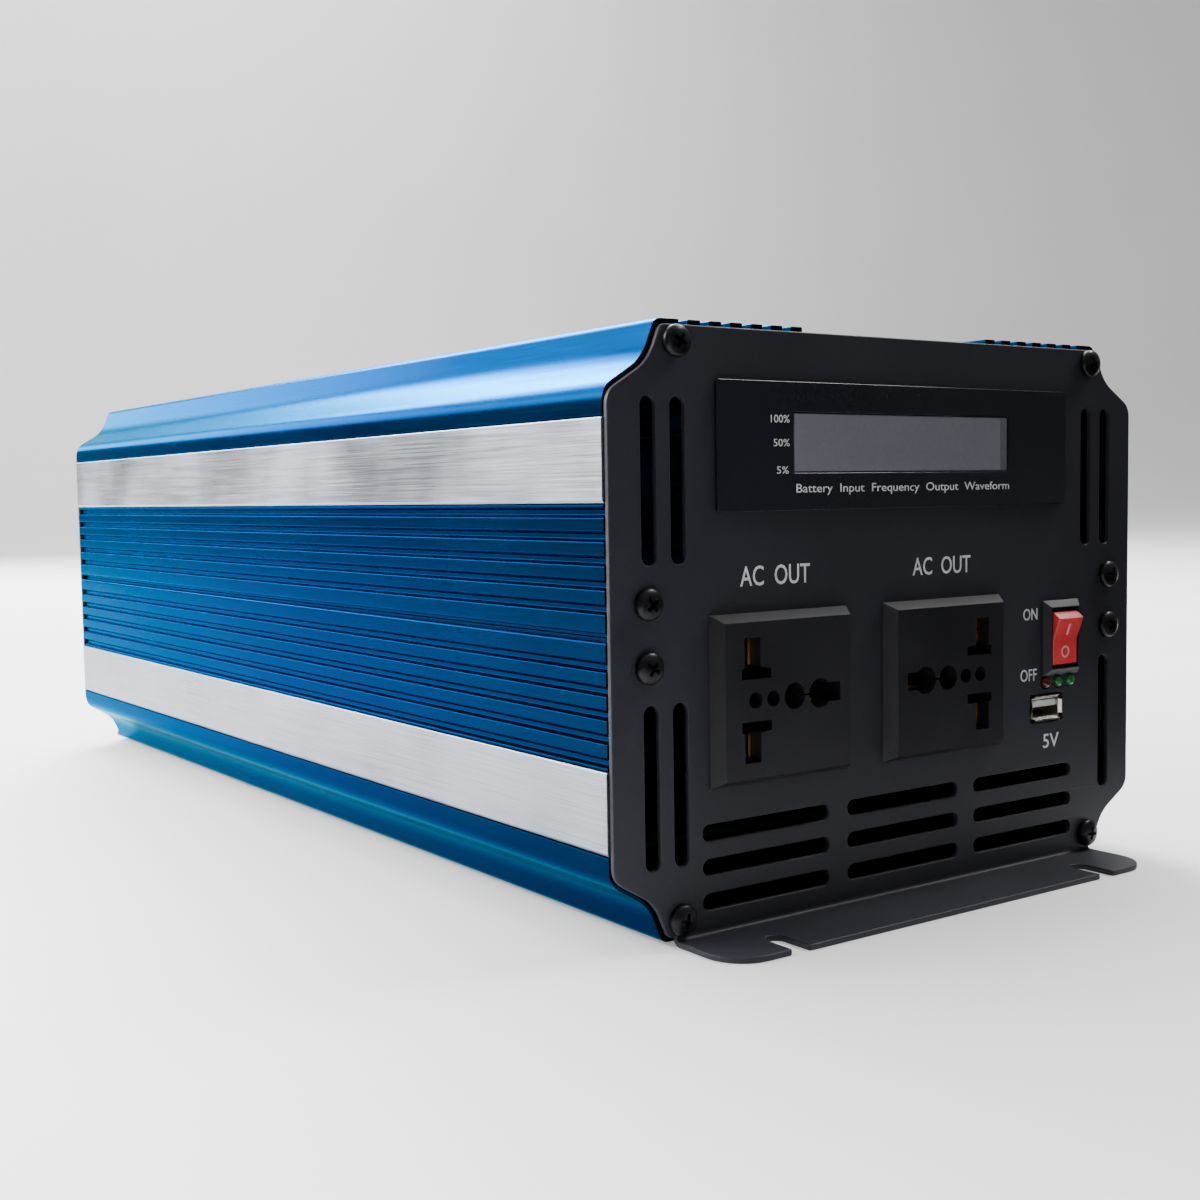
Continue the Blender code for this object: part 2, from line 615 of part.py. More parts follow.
def build_switch(datum):
    name = "switch_body"
    mesh = tapered_mesh(name, SWITCH_BEZEL, SWITCH_RIM, -GAP, -GAP - SWITCH_RISE)
    switch = make_piece(name, mesh, black_plastic, datum, (SWITCH_X, 0.0, SWITCH_Z))
    size = (SWITCH_BODY[0], SWITCH_DEPTH + 1 * MM, SWITCH_BODY[1])
    add_boolean(switch, box_mesh(name + "_shell", size, (0, SWITCH_DEPTH / 2 - 0.5 * MM, 0)), "UNION")
    well = (SWITCH_WELL[0], 12 * MM, SWITCH_WELL[1])
    add_boolean(switch, box_mesh(name + "_well", well, (0.0, 0.8 * MM, 0.0)))
    place = Matrix.Rotation(math.pi / 2, 4, "Z") @ UPRIGHT @ Matrix.Diagonal((-1, 1, 1, 1))
    mesh = outline_mesh("switch_rocker", [rocker_outline()], ROCKER_WIDTH, place)
    rocker = make_piece("switch_rocker", mesh, red_plastic, datum,
                        (SWITCH_X, ROCKER_PIVOT_DEPTH, SWITCH_Z))
    rocker.rotation_euler = (ROCKER_TILT, 0.0, 0.0)


def build_lamps(datum):
    board_y = PORT_LENGTH + GAP
    radius = LAMP_RADIUS
    profile = [(0.0, -1.3 * MM), (0.5 * radius, -1.1 * MM), (0.87 * radius, -0.6 * MM),
               (radius, 0.1 * MM), (radius, 4.0 * MM), (1.9 * MM, 4.0 * MM),
               (1.9 * MM, board_y - GAP), (0.0, board_y - GAP)]
    colours = {"fault_lamp": lamp_red, "output_lamp": lamp_green, "input_lamp": lamp_green}
    for x, (name, material) in zip(LAMP_X, colours.items()):
        turned_piece(name, profile, material, 12, datum, (x, 0.0, LAMP_Z))
    mesh = box_mesh("indicator_board", (INDICATOR_BOARD[0], BOARD_THICKNESS, INDICATOR_BOARD[1]))
    x, z = INDICATOR_CENTRE
    make_piece("indicator_board", mesh, board_green, datum, (x, board_y + BOARD_THICKNESS / 2, z))


def build_charging_port(datum):
    name = "charging_port"
    x, z = PORT_CENTRE
    width, height = PORT_SHELL
    mesh = box_mesh(name, (width, PORT_LENGTH, height), (0.0, PORT_LENGTH / 2 - GAP, 0.0))
    port = make_piece(name, mesh, bright_steel, datum, (x, 0.0, z))
    depth = 10 * MM
    mouth = box_mesh(name + "_mouth", (PORT_MOUTH[0], depth + 2 * MM, PORT_MOUTH[1]),
                     (0.0, depth / 2 - 1 * MM, 0.0))
    add_boolean(port, mouth)
    tongue = box_mesh(name + "_tongue", (PORT_TONGUE[0], depth, PORT_TONGUE[1]),
                      (0.0, depth / 2 + 1.2 * MM, 0.9 * MM))
    add_boolean(port, tongue, "UNION")


def fan_guard_holes():
    """Four quarters of three ring-shaped openings."""
    holes = []
    for inner in (9.0 * MM, 15.4 * MM, 21.8 * MM):
        outer = inner + 4.6 * MM
        for quarter in range(4):
            margin = 1.4 * MM / inner
            start = quarter * math.pi / 2 + margin
            end = (quarter + 1) * math.pi / 2 - margin
            holes.append(arc(outer, start, end, 5) + arc(inner, end, start, 5))
    return holes


def rotor_blade(angle):
    """A flat blade pitched across the hub's height."""
    reach = ROTOR_RADIUS - HUB_RADIUS + 2 * MM
    middle = ROTOR_RADIUS - reach / 2
    turn = Matrix.Rotation(angle, 4, "Y")
    tilt = Matrix.Rotation(math.radians(38), 4, "X")
    return turn @ Matrix.Translation((middle, 9 * MM, 0)) @ tilt @ Matrix.Diagonal(
        (reach, 1.2 * MM, 17 * MM, 1.0))


def build_fan(side, x, datum):
    """A boxed axial fan behind the rear plate, with its rotor and its outer guard."""
    back = SHEET + GAP
    outline = rounded([(u, v, 3 * MM) for u, v in rectangle(FAN_SIZE, FAN_SIZE)], 2)
    name = f"fan_frame_{side}"
    place = Matrix.Translation((0.0, back + FAN_DEPTH / 2, 0.0)) @ UPRIGHT
    loops = [outline, circle(FAN_BORE, 32)]
    frame = make_piece(name, outline_mesh(name, loops, FAN_DEPTH, place), fan_black, datum,
                       (x, 0.0, FAN_Z))
    holder_y = back + FAN_DEPTH
    bm = bmesh.new()
    for angle in (math.pi / 4, 3 * math.pi / 4):
        strut = Matrix.Translation((0, holder_y - 1.6 * MM, 0)) @ Matrix.Rotation(angle, 4, "Y")
        bmesh.ops.create_cube(bm, size=1.0, matrix=strut @ Matrix.Diagonal(
            (2 * FAN_BORE + 2 * MM, 3.0 * MM, 3.4 * MM, 1.0)))
    crossed = mesh_from_bmesh(name + "_struts", bm)
    add_boolean(frame, crossed, "UNION")
    frame.modifiers[-1].use_self = True
    disc = cylinder_mesh(name + "_holder", HUB_RADIUS, holder_y - 3.3 * MM, holder_y - 0.3 * MM, 24)
    add_boolean(frame, disc, "UNION")

    name = f"fan_rotor_{side}"
    front = back + 1.0 * MM
    rotor = make_piece(name, cylinder_mesh(name, HUB_RADIUS, 0.0, 18.0 * MM, 24), fan_black, datum,
                       (x, front, FAN_Z))
    for i in range(BLADE_COUNT):
        bm = bmesh.new()
        bmesh.ops.create_cube(bm, size=1.0, matrix=rotor_blade(2 * math.pi * i / BLADE_COUNT))
        add_boolean(rotor, mesh_from_bmesh(f"{name}_blade_{i}", bm), "UNION")

    name = f"fan_guard_{side}"
    ears = [(u, v, 2.5 * MM) for u, v in rectangle(57 * MM, 57 * MM)]
    loops = [rounded(ears, 3)] + fan_guard_holes()
    mesh = outline_mesh(name, loops, 1.2 * MM, UPRIGHT)
    make_piece(name, mesh, guard_steel, datum, (x, -GAP - 0.6 * MM, FAN_Z))


def build_terminal(kind, x, base_material, datum):
    """A battery stud in an insulating bush, with its nut."""
    bore = STUD_RADIUS + GAP
    rise = -GAP - TERMINAL_BASE_RISE
    profile = [(bore, rise), (TERMINAL_BASE_RADIUS - 1 * MM, rise),
               (TERMINAL_BASE_RADIUS, rise + 1 * MM), (TERMINAL_BASE_RADIUS, -GAP),
               (7.0 * MM, -GAP), (7.0 * MM, 6 * MM), (bore, 6 * MM)]
    place = (x, 0.0, TERMINAL_Z)
    turned_piece(f"{kind}_terminal_base", profile, base_material, 24, datum, place)
    profile = [(0.0, -STUD_OUT), (STUD_RADIUS - 0.8 * MM, -STUD_OUT),
               (STUD_RADIUS, -STUD_OUT + 0.8 * MM), (STUD_RADIUS, 6.5 * MM), (8.0 * MM, 6.5 * MM),
               (8.0 * MM, 12 * MM), (0.0, 12 * MM)]
    turned_piece(f"{kind}_terminal_stud", profile, brass, 16, datum, place)
    name = f"{kind}_terminal_nut"
    mesh = outline_mesh(name, [circle(7.5 * MM, 6), circle(bore, 16)], NUT_HEIGHT, UPRIGHT)
    make_piece(name, mesh, bright_steel, datum, (x, rise - LUG_ROOM - NUT_HEIGHT / 2, TERMINAL_Z))


def build_power_stage():
    """The main board on the lower half's screw bosses, and what stands on it."""
    under = CENTRE_HEIGHT + BOARD_LEVEL
    top = under + BOARD_THICKNESS + GAP
    mesh = box_mesh("main_board", (*MAIN_BOARD, BOARD_THICKNESS))
    make_piece("main_board", mesh, board_green, None, (0, 0, under + BOARD_THICKNESS / 2))
    for side, way in (("left", -1), ("right", 1)):
        name = f"heatsink_{side}"
        fins = [(0, 0), (14, 0), (14, 3)]
        for i in range(4):
            level = 10 + 9 * i
            fins += [(3, level - 7), (3, level), (14, level), (14, level + 2)]
        fins += [(3, 39), (3, 48), (0, 48)]
        loop = [(way * u * MM, v * MM) for u, v in fins]
        mesh = outline_mesh(name, [loop], 220 * MM, UPRIGHT)
        make_piece(name, mesh, plain_aluminium, None, (way * 56 * MM, 0, top))
        name = f"transformer_{side}"
        mesh = box_mesh(name, (44 * MM, 60 * MM, 30 * MM), (0, 0, 25 * MM))
        core = make_piece(name, mesh, ferrite, None, (way * 26 * MM, -60 * MM, top))
        winding = box_mesh(name + "_winding", (38 * MM, 42 * MM, 46 * MM), (0, 0, 23 * MM))
        add_boolean(core, winding, "UNION")
    profile = [(0.0, 0.0), (14.5 * MM, 0.0), (15.0 * MM, 0.5 * MM), (15.0 * MM, 50 * MM),
               (0.0, 50 * MM)]
    capacitor = turned_piece("bus_capacitor", profile, capacitor_sleeve, 24)
    capacitor.location = (0, 60 * MM, top + 50 * MM)
    capacitor.rotation_euler = (0, 0, 0)


clear_scene()
parts = make_collection("power_inverter")
cutters = make_collection("cutters")

blue_aluminium = make_material("blue_anodised_aluminium", (0.0, 0.13, 0.3), 0.35, 1.0)
brushed_aluminium = make_material("brushed_aluminium", (0.72, 0.72, 0.74), 0.4, 1.0)
plain_aluminium = make_material("plain_aluminium", (0.6, 0.6, 0.62), 0.45, 1.0)
black_steel = make_material("black_powder_coated_steel", (0.018, 0.018, 0.02), 0.55)
black_screw = make_material("black_screw_steel", (0.02, 0.02, 0.022), 0.35, 0.6)
gloss_black = make_material("gloss_black_plastic", (0.014, 0.014, 0.02), 0.15)
screen_glass = make_material("screen_glass", (0.12, 0.13, 0.14), 0.2)
board_green = make_material("circuit_board", (0.02, 0.16, 0.05), 0.5)
black_plastic = make_material("black_moulded_plastic", (0.02, 0.02, 0.02), 0.4)
brass = make_material("brass", (0.75, 0.5, 0.16), 0.3, 1.0)
red_plastic = make_material("red_moulded_plastic", (0.7, 0.03, 0.04), 0.35)
lamp_red = make_material("red_lamp_lens", (0.2, 0.01, 0.01), 0.2)
lamp_green = make_material("green_lamp_lens", (0.02, 0.3, 0.06), 0.2)
bright_steel = make_material("bright_steel", (0.6, 0.58, 0.55), 0.3, 1.0)
guard_steel = make_material("guard_steel", (0.5, 0.5, 0.5), 0.35, 1.0)
fan_black = make_material("fan_plastic", (0.02, 0.02, 0.02), 0.5)
ferrite = make_material("ferrite_core", (0.05, 0.05, 0.055), 0.7)
capacitor_sleeve = make_material("capacitor_sleeve", (0.02, 0.03, 0.1), 0.4)

front_datum = make_datum("front_datum", -CASE_LENGTH / 2, 0.0)
rear_datum = make_datum("rear_datum", CASE_LENGTH / 2, math.pi)

build_case()
folded_plate("front_plate", front_holes(), front_datum)
folded_plate("rear_plate", rear_holes(), rear_datum)
build_screws("front", front_datum)
build_screws("rear", rear_datum)
build_display(front_datum)
build_socket("left", SOCKET_LEFT_X, 1, front_datum)
build_socket("right", SOCKET_RIGHT_X, -1, front_datum)
build_switch(front_datum)
build_lamps(front_datum)
build_charging_port(front_datum)
build_fan("left", FAN_X, rear_datum)
build_fan("right", -FAN_X, rear_datum)
build_terminal("positive", TERMINAL_X, red_plastic, rear_datum)
build_terminal("negative", -TERMINAL_X, black_plastic, rear_datum)
build_power_stage()
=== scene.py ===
import math
import random

import bmesh
import bpy
from mathutils import Matrix, Vector


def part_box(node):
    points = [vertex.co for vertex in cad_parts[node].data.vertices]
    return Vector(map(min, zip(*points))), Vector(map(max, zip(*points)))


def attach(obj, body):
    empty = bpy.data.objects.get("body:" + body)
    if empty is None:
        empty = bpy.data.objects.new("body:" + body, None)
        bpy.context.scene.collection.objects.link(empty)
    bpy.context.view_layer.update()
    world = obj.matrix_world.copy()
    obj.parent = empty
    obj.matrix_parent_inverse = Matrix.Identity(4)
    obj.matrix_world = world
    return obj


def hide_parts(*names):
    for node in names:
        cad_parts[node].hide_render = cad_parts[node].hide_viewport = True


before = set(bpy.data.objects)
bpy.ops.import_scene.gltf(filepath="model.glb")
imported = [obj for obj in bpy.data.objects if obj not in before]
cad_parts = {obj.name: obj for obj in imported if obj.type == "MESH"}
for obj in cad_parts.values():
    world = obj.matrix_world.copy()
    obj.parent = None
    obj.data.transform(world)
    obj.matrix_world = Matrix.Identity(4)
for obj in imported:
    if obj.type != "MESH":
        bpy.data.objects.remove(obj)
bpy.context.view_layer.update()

mm = 0.001
standUp = Matrix.Rotation(math.pi / 2, 4, "X")     # a flat outline then faces the front
turnRound = Matrix.Rotation(math.pi, 4, "Z")       # from the front plate's view to the rear plate's


# small helpers for meshes, node trees and pieces

def box2d(width, height, centre=(0.0, 0.0), radius=0.0):
    x, y = centre
    return [(x + i * width / 2, y + j * height / 2, radius) for i, j in
            ((-1, -1), (1, -1), (1, 1), (-1, 1))]


def arc(radius, start, end, steps, centre=(0.0, 0.0)):
    turn = (end - start) / steps
    return [(centre[0] + radius * math.cos(start + i * turn),
             centre[1] + radius * math.sin(start + i * turn)) for i in range(steps + 1)]


def circle(radius, steps=32, centre=(0.0, 0.0)):
    return arc(radius, 0.0, 2 * math.pi, steps, centre)[:-1]


def rounded(corners, steps=5):
    # corners are (x, y, radius), and a radius of 0 stays sharp
    points = []
    for i, (x, y, radius) in enumerate(corners):
        corner = Vector((x, y))
        if radius == 0:
            points.append((x, y))
            continue
        before = (Vector(corners[i - 1][:2]) - corner).normalized()
        after = (Vector(corners[(i + 1) % len(corners)][:2]) - corner).normalized()
        half = before.angle(after) / 2
        centre = corner + (before + after).normalized() * (radius / math.sin(half))
        start = corner + before * (radius / math.tan(half)) - centre
        end = corner + after * (radius / math.tan(half)) - centre
        startAngle = math.atan2(start.y, start.x)
        turn = (math.atan2(end.y, end.x) - startAngle + math.pi) % (2 * math.pi) - math.pi
        points += arc(radius, startAngle, startAngle + turn, steps, tuple(centre))
    return points


def slot(length, width, centre, upright=False):
    size = (width, length) if upright else (length, width)
    return rounded(box2d(*size, centre, width / 2 * 0.999), 8)


def meshFrom(bm, name="mesh"):
    bmesh.ops.remove_doubles(bm, verts=bm.verts, dist=1e-6)
    bmesh.ops.dissolve_degenerate(bm, edges=bm.edges, dist=1e-6)
    bmesh.ops.recalc_face_normals(bm, faces=bm.faces)
    mesh = bpy.data.meshes.new(name)
    bm.to_mesh(mesh)
    bm.free()
    return mesh


def evaluated(obj):
    # the plain mesh that an object's modifiers or curve give, and the object is gone
    graph = bpy.context.evaluated_depsgraph_get()
    mesh = bpy.data.meshes.new_from_object(obj.evaluated_get(graph))
    bpy.data.objects.remove(obj)
    return mesh


def linked(data, name="helper"):
    obj = bpy.data.objects.new(name, data)
    bpy.context.scene.collection.objects.link(obj)
    return obj


def outlineCurve(loops, depth=0.0, edge=0.0):
    curve = bpy.data.curves.new("outline", "CURVE")
    curve.dimensions = "2D"
    curve.fill_mode = "BOTH"
    curve.extrude = depth / 2 - edge
    curve.bevel_depth = edge
    curve.bevel_resolution = 2
    curve.offset = -edge
    for loop in loops:
        spline = curve.splines.new("POLY")
        spline.points.add(len(loop) - 1)
        spline.use_cyclic_u = True
        for point, (x, y) in zip(spline.points, loop):
            point.co = (x, y, 0.0, 1.0)
    return curve


def outlineMesh(loops, depth, edge=0.0, place=standUp):
    # the first loop is the outside and the rest are holes; edge rounds every rim
    mesh = evaluated(linked(outlineCurve(loops, depth, edge)))
    bm = bmesh.new()
    bm.from_mesh(mesh)
    bmesh.ops.transform(bm, matrix=place, verts=bm.verts)
    return meshFrom(bm)


def turnedMesh(profile, steps=48, place=None):
    # (radius, y) points turned about the Y axis
    bm = bmesh.new()
    points = [bm.verts.new((radius, y, 0.0)) for radius, y in profile]
    edges = [bm.edges.new(pair) for pair in zip(points, points[1:])]
    if profile[0][0] > 0:
        edges.append(bm.edges.new((points[-1], points[0])))
    bmesh.ops.spin(bm, geom=points + edges, cent=(0, 0, 0), axis=(0, 1, 0),
                   angle=2 * math.pi, steps=steps)
    if place is not None:
        bmesh.ops.transform(bm, matrix=place, verts=bm.verts)
    return meshFrom(bm)


def boxMesh(size, centre, edge=0.0):
    bm = bmesh.new()
    place = Matrix.Translation(centre) @ Matrix.Diagonal((*size, 1.0))
    bmesh.ops.create_cube(bm, size=1.0, matrix=place)
    if edge:
        bmesh.ops.bevel(bm, geom=bm.edges[:], offset=edge, segments=2, affect="EDGES", profile=0.5)
    return meshFrom(bm)


def taperMesh(back, front, yBack, yFront):
    # a block whose back and front faces are (width, height) rectangles
    bm = bmesh.new()
    bmesh.ops.create_cube(bm, size=1.0)
    for vertex in bm.verts:
        width, height = back if vertex.co.y > 0 else front
        y = yBack if vertex.co.y > 0 else yFront
        vertex.co = (vertex.co.x * width, y, vertex.co.z * height)
    return meshFrom(bm)


def joined(meshes):
    bm = bmesh.new()
    for mesh in meshes:
        bm.from_mesh(mesh)
    mesh = bpy.data.meshes.new("joined")
    bm.to_mesh(mesh)
    bm.free()
    return mesh


def carved(mesh, cutters=(), additions=(), limits=(), edge=0.0):
    # booleans, then small rounded edges
    obj = linked(mesh)
    helpers = []
    for operation, meshes in (("UNION", additions), ("DIFFERENCE", cutters),
                              ("INTERSECT", limits)):
        for other in meshes:
            helpers.append(linked(other))
            modifier = obj.modifiers.new(operation, "BOOLEAN")
            modifier.operation = operation
            modifier.solver = "EXACT"
            modifier.object = helpers[-1]
    if edge:
        modifier = obj.modifiers.new("Bevel", "BEVEL")
        modifier.width = edge
        modifier.segments = 2
        modifier.limit_method = "ANGLE"
        modifier.angle_limit = math.radians(35)
    result = evaluated(obj)
    for helper in helpers:
        bpy.data.objects.remove(helper)
    return result


def addNode(tree, kind, inputs=None, **settings):
    # one node with its settings; an input is a value, or the socket that feeds it
    node = tree.nodes.new(kind)
    for name, value in settings.items():
        setattr(node, name, value)
    for name, value in (inputs or {}).items():
        for source in value if isinstance(value, list) else [value]:
            if isinstance(source, bpy.types.NodeSocket):
                tree.links.new(source, node.inputs[name])
            else:
                node.inputs[name].default_value = source
    return node


def newTree(name, inputs):
    tree = bpy.data.node_groups.new(name, "GeometryNodeTree")
    tree.interface.new_socket("Geometry", in_out="INPUT", socket_type="NodeSocketGeometry")
    for label, kind in inputs.items():
        tree.interface.new_socket(label, in_out="INPUT", socket_type="NodeSocket" + kind)
    tree.interface.new_socket("Geometry", in_out="OUTPUT", socket_type="NodeSocketGeometry")
    return tree, addNode(tree, "NodeGroupInput").outputs


def endTree(tree, geometry, material):
    solid = addNode(tree, "GeometryNodeRealizeInstances", {"Geometry": geometry})
    merged = addNode(tree, "GeometryNodeMergeByDistance", {"Geometry": solid.outputs[0],
                                                           "Distance": 1e-6})
    dressed = addNode(tree, "GeometryNodeSetMaterial", {"Geometry": merged.outputs[0],
                                                        "Material": material})
    addNode(tree, "NodeGroupOutput", {"Geometry": dressed.outputs[0]})


def grown(tree, data, values):
    # the plain mesh that a node tree makes of a mesh or a curve
    obj = linked(data)
    modifier = obj.modifiers.new(tree.name, "NODES")
    modifier.node_group = tree
    for item in tree.interface.items_tree:
        if item.in_out == "INPUT" and item.name in values:
            modifier[item.identifier] = values[item.name]
    return evaluated(obj)


def addPiece(name, mesh, look, nodes=(), body="case"):
    # the look's material goes on the piece, and the nodes of the model that it stands in for are hidden
    mesh.name = name
    obj = linked(mesh, name)
    mesh.materials.clear()
    mesh.materials.append(materials[look])
    mesh.shade_smooth()
    mesh.set_sharp_from_angle(angle=math.radians(32))
    weighted = obj.modifiers.new("Weighted normals", "WEIGHTED_NORMAL")
    weighted.keep_sharp = True
    weighted.weight = 80
    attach(obj, body)
    if nodes:
        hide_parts(*nodes)


def dress(look, *nodes):
    for node in nodes:
        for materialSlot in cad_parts[node].material_slots:
            materialSlot.material = materials[look]


# materials

def linear(code):
    # sRGB hex to the linear colour that shaders use
    parts = [int(code[i:i + 2], 16) / 255 for i in (1, 3, 5)]
    lit = [c / 12.92 if c <= 0.04045 else ((c + 0.055) / 1.055) ** 2.4 for c in parts]
    return (*lit, 1.0)


def finish(name, look):
    # two colours and two roughnesses mixed by broad patches and fine grain, and bump from the grain
    material = bpy.data.materials.new(name)
    material.use_nodes = True
    tree = material.node_tree
    shader = tree.nodes["Principled BSDF"]
    place = addNode(tree, "ShaderNodeTexCoord").outputs["Object"]
    stretched = addNode(tree, "ShaderNodeMapping", {"Vector": place,
                                                    "Scale": look.get("stretch", (1, 1, 1))})
    grain = addNode(tree, "ShaderNodeTexNoise",
                    {"Vector": stretched.outputs[0], "Scale": 1 / (look["grain"] * mm),
                     "Detail": look.get("detail", 3.0), "Roughness": 0.6})
    patches = addNode(tree, "ShaderNodeTexNoise",
                      {"Vector": place, "Scale": 1 / (look.get("patch", 60) * mm), "Detail": 2.0})
    blend = addNode(tree, "ShaderNodeMath", {0: grain.outputs[0], 1: patches.outputs[0]},
                    operation="ADD")
    level = addNode(tree, "ShaderNodeMapRange", {"Value": blend.outputs[0], "From Min": 0.75,
                                                 "From Max": 1.25})
    colours = addNode(tree, "ShaderNodeMix", {"Factor": level.outputs[0],
                                              6: linear(look["colours"][0]),
                                              7: linear(look["colours"][1])}, data_type="RGBA")
    rough = addNode(tree, "ShaderNodeMapRange", {"Value": level.outputs[0],
                                                 "To Min": look["roughness"][0],
                                                 "To Max": look["roughness"][1]})
    bump = addNode(tree, "ShaderNodeBump", {"Height": grain.outputs[0],
                                            "Strength": look.get("bump", 0.3),
                                            "Distance": look.get("depth", 0.02) * mm})
    tree.links.new(colours.outputs[2], shader.inputs["Base Color"])
    tree.links.new(rough.outputs[0], shader.inputs["Roughness"])
    tree.links.new(bump.outputs[0], shader.inputs["Normal"])
    for socket, value in look.get("shader", {}).items():
        shader.inputs[socket].default_value = value
    return material


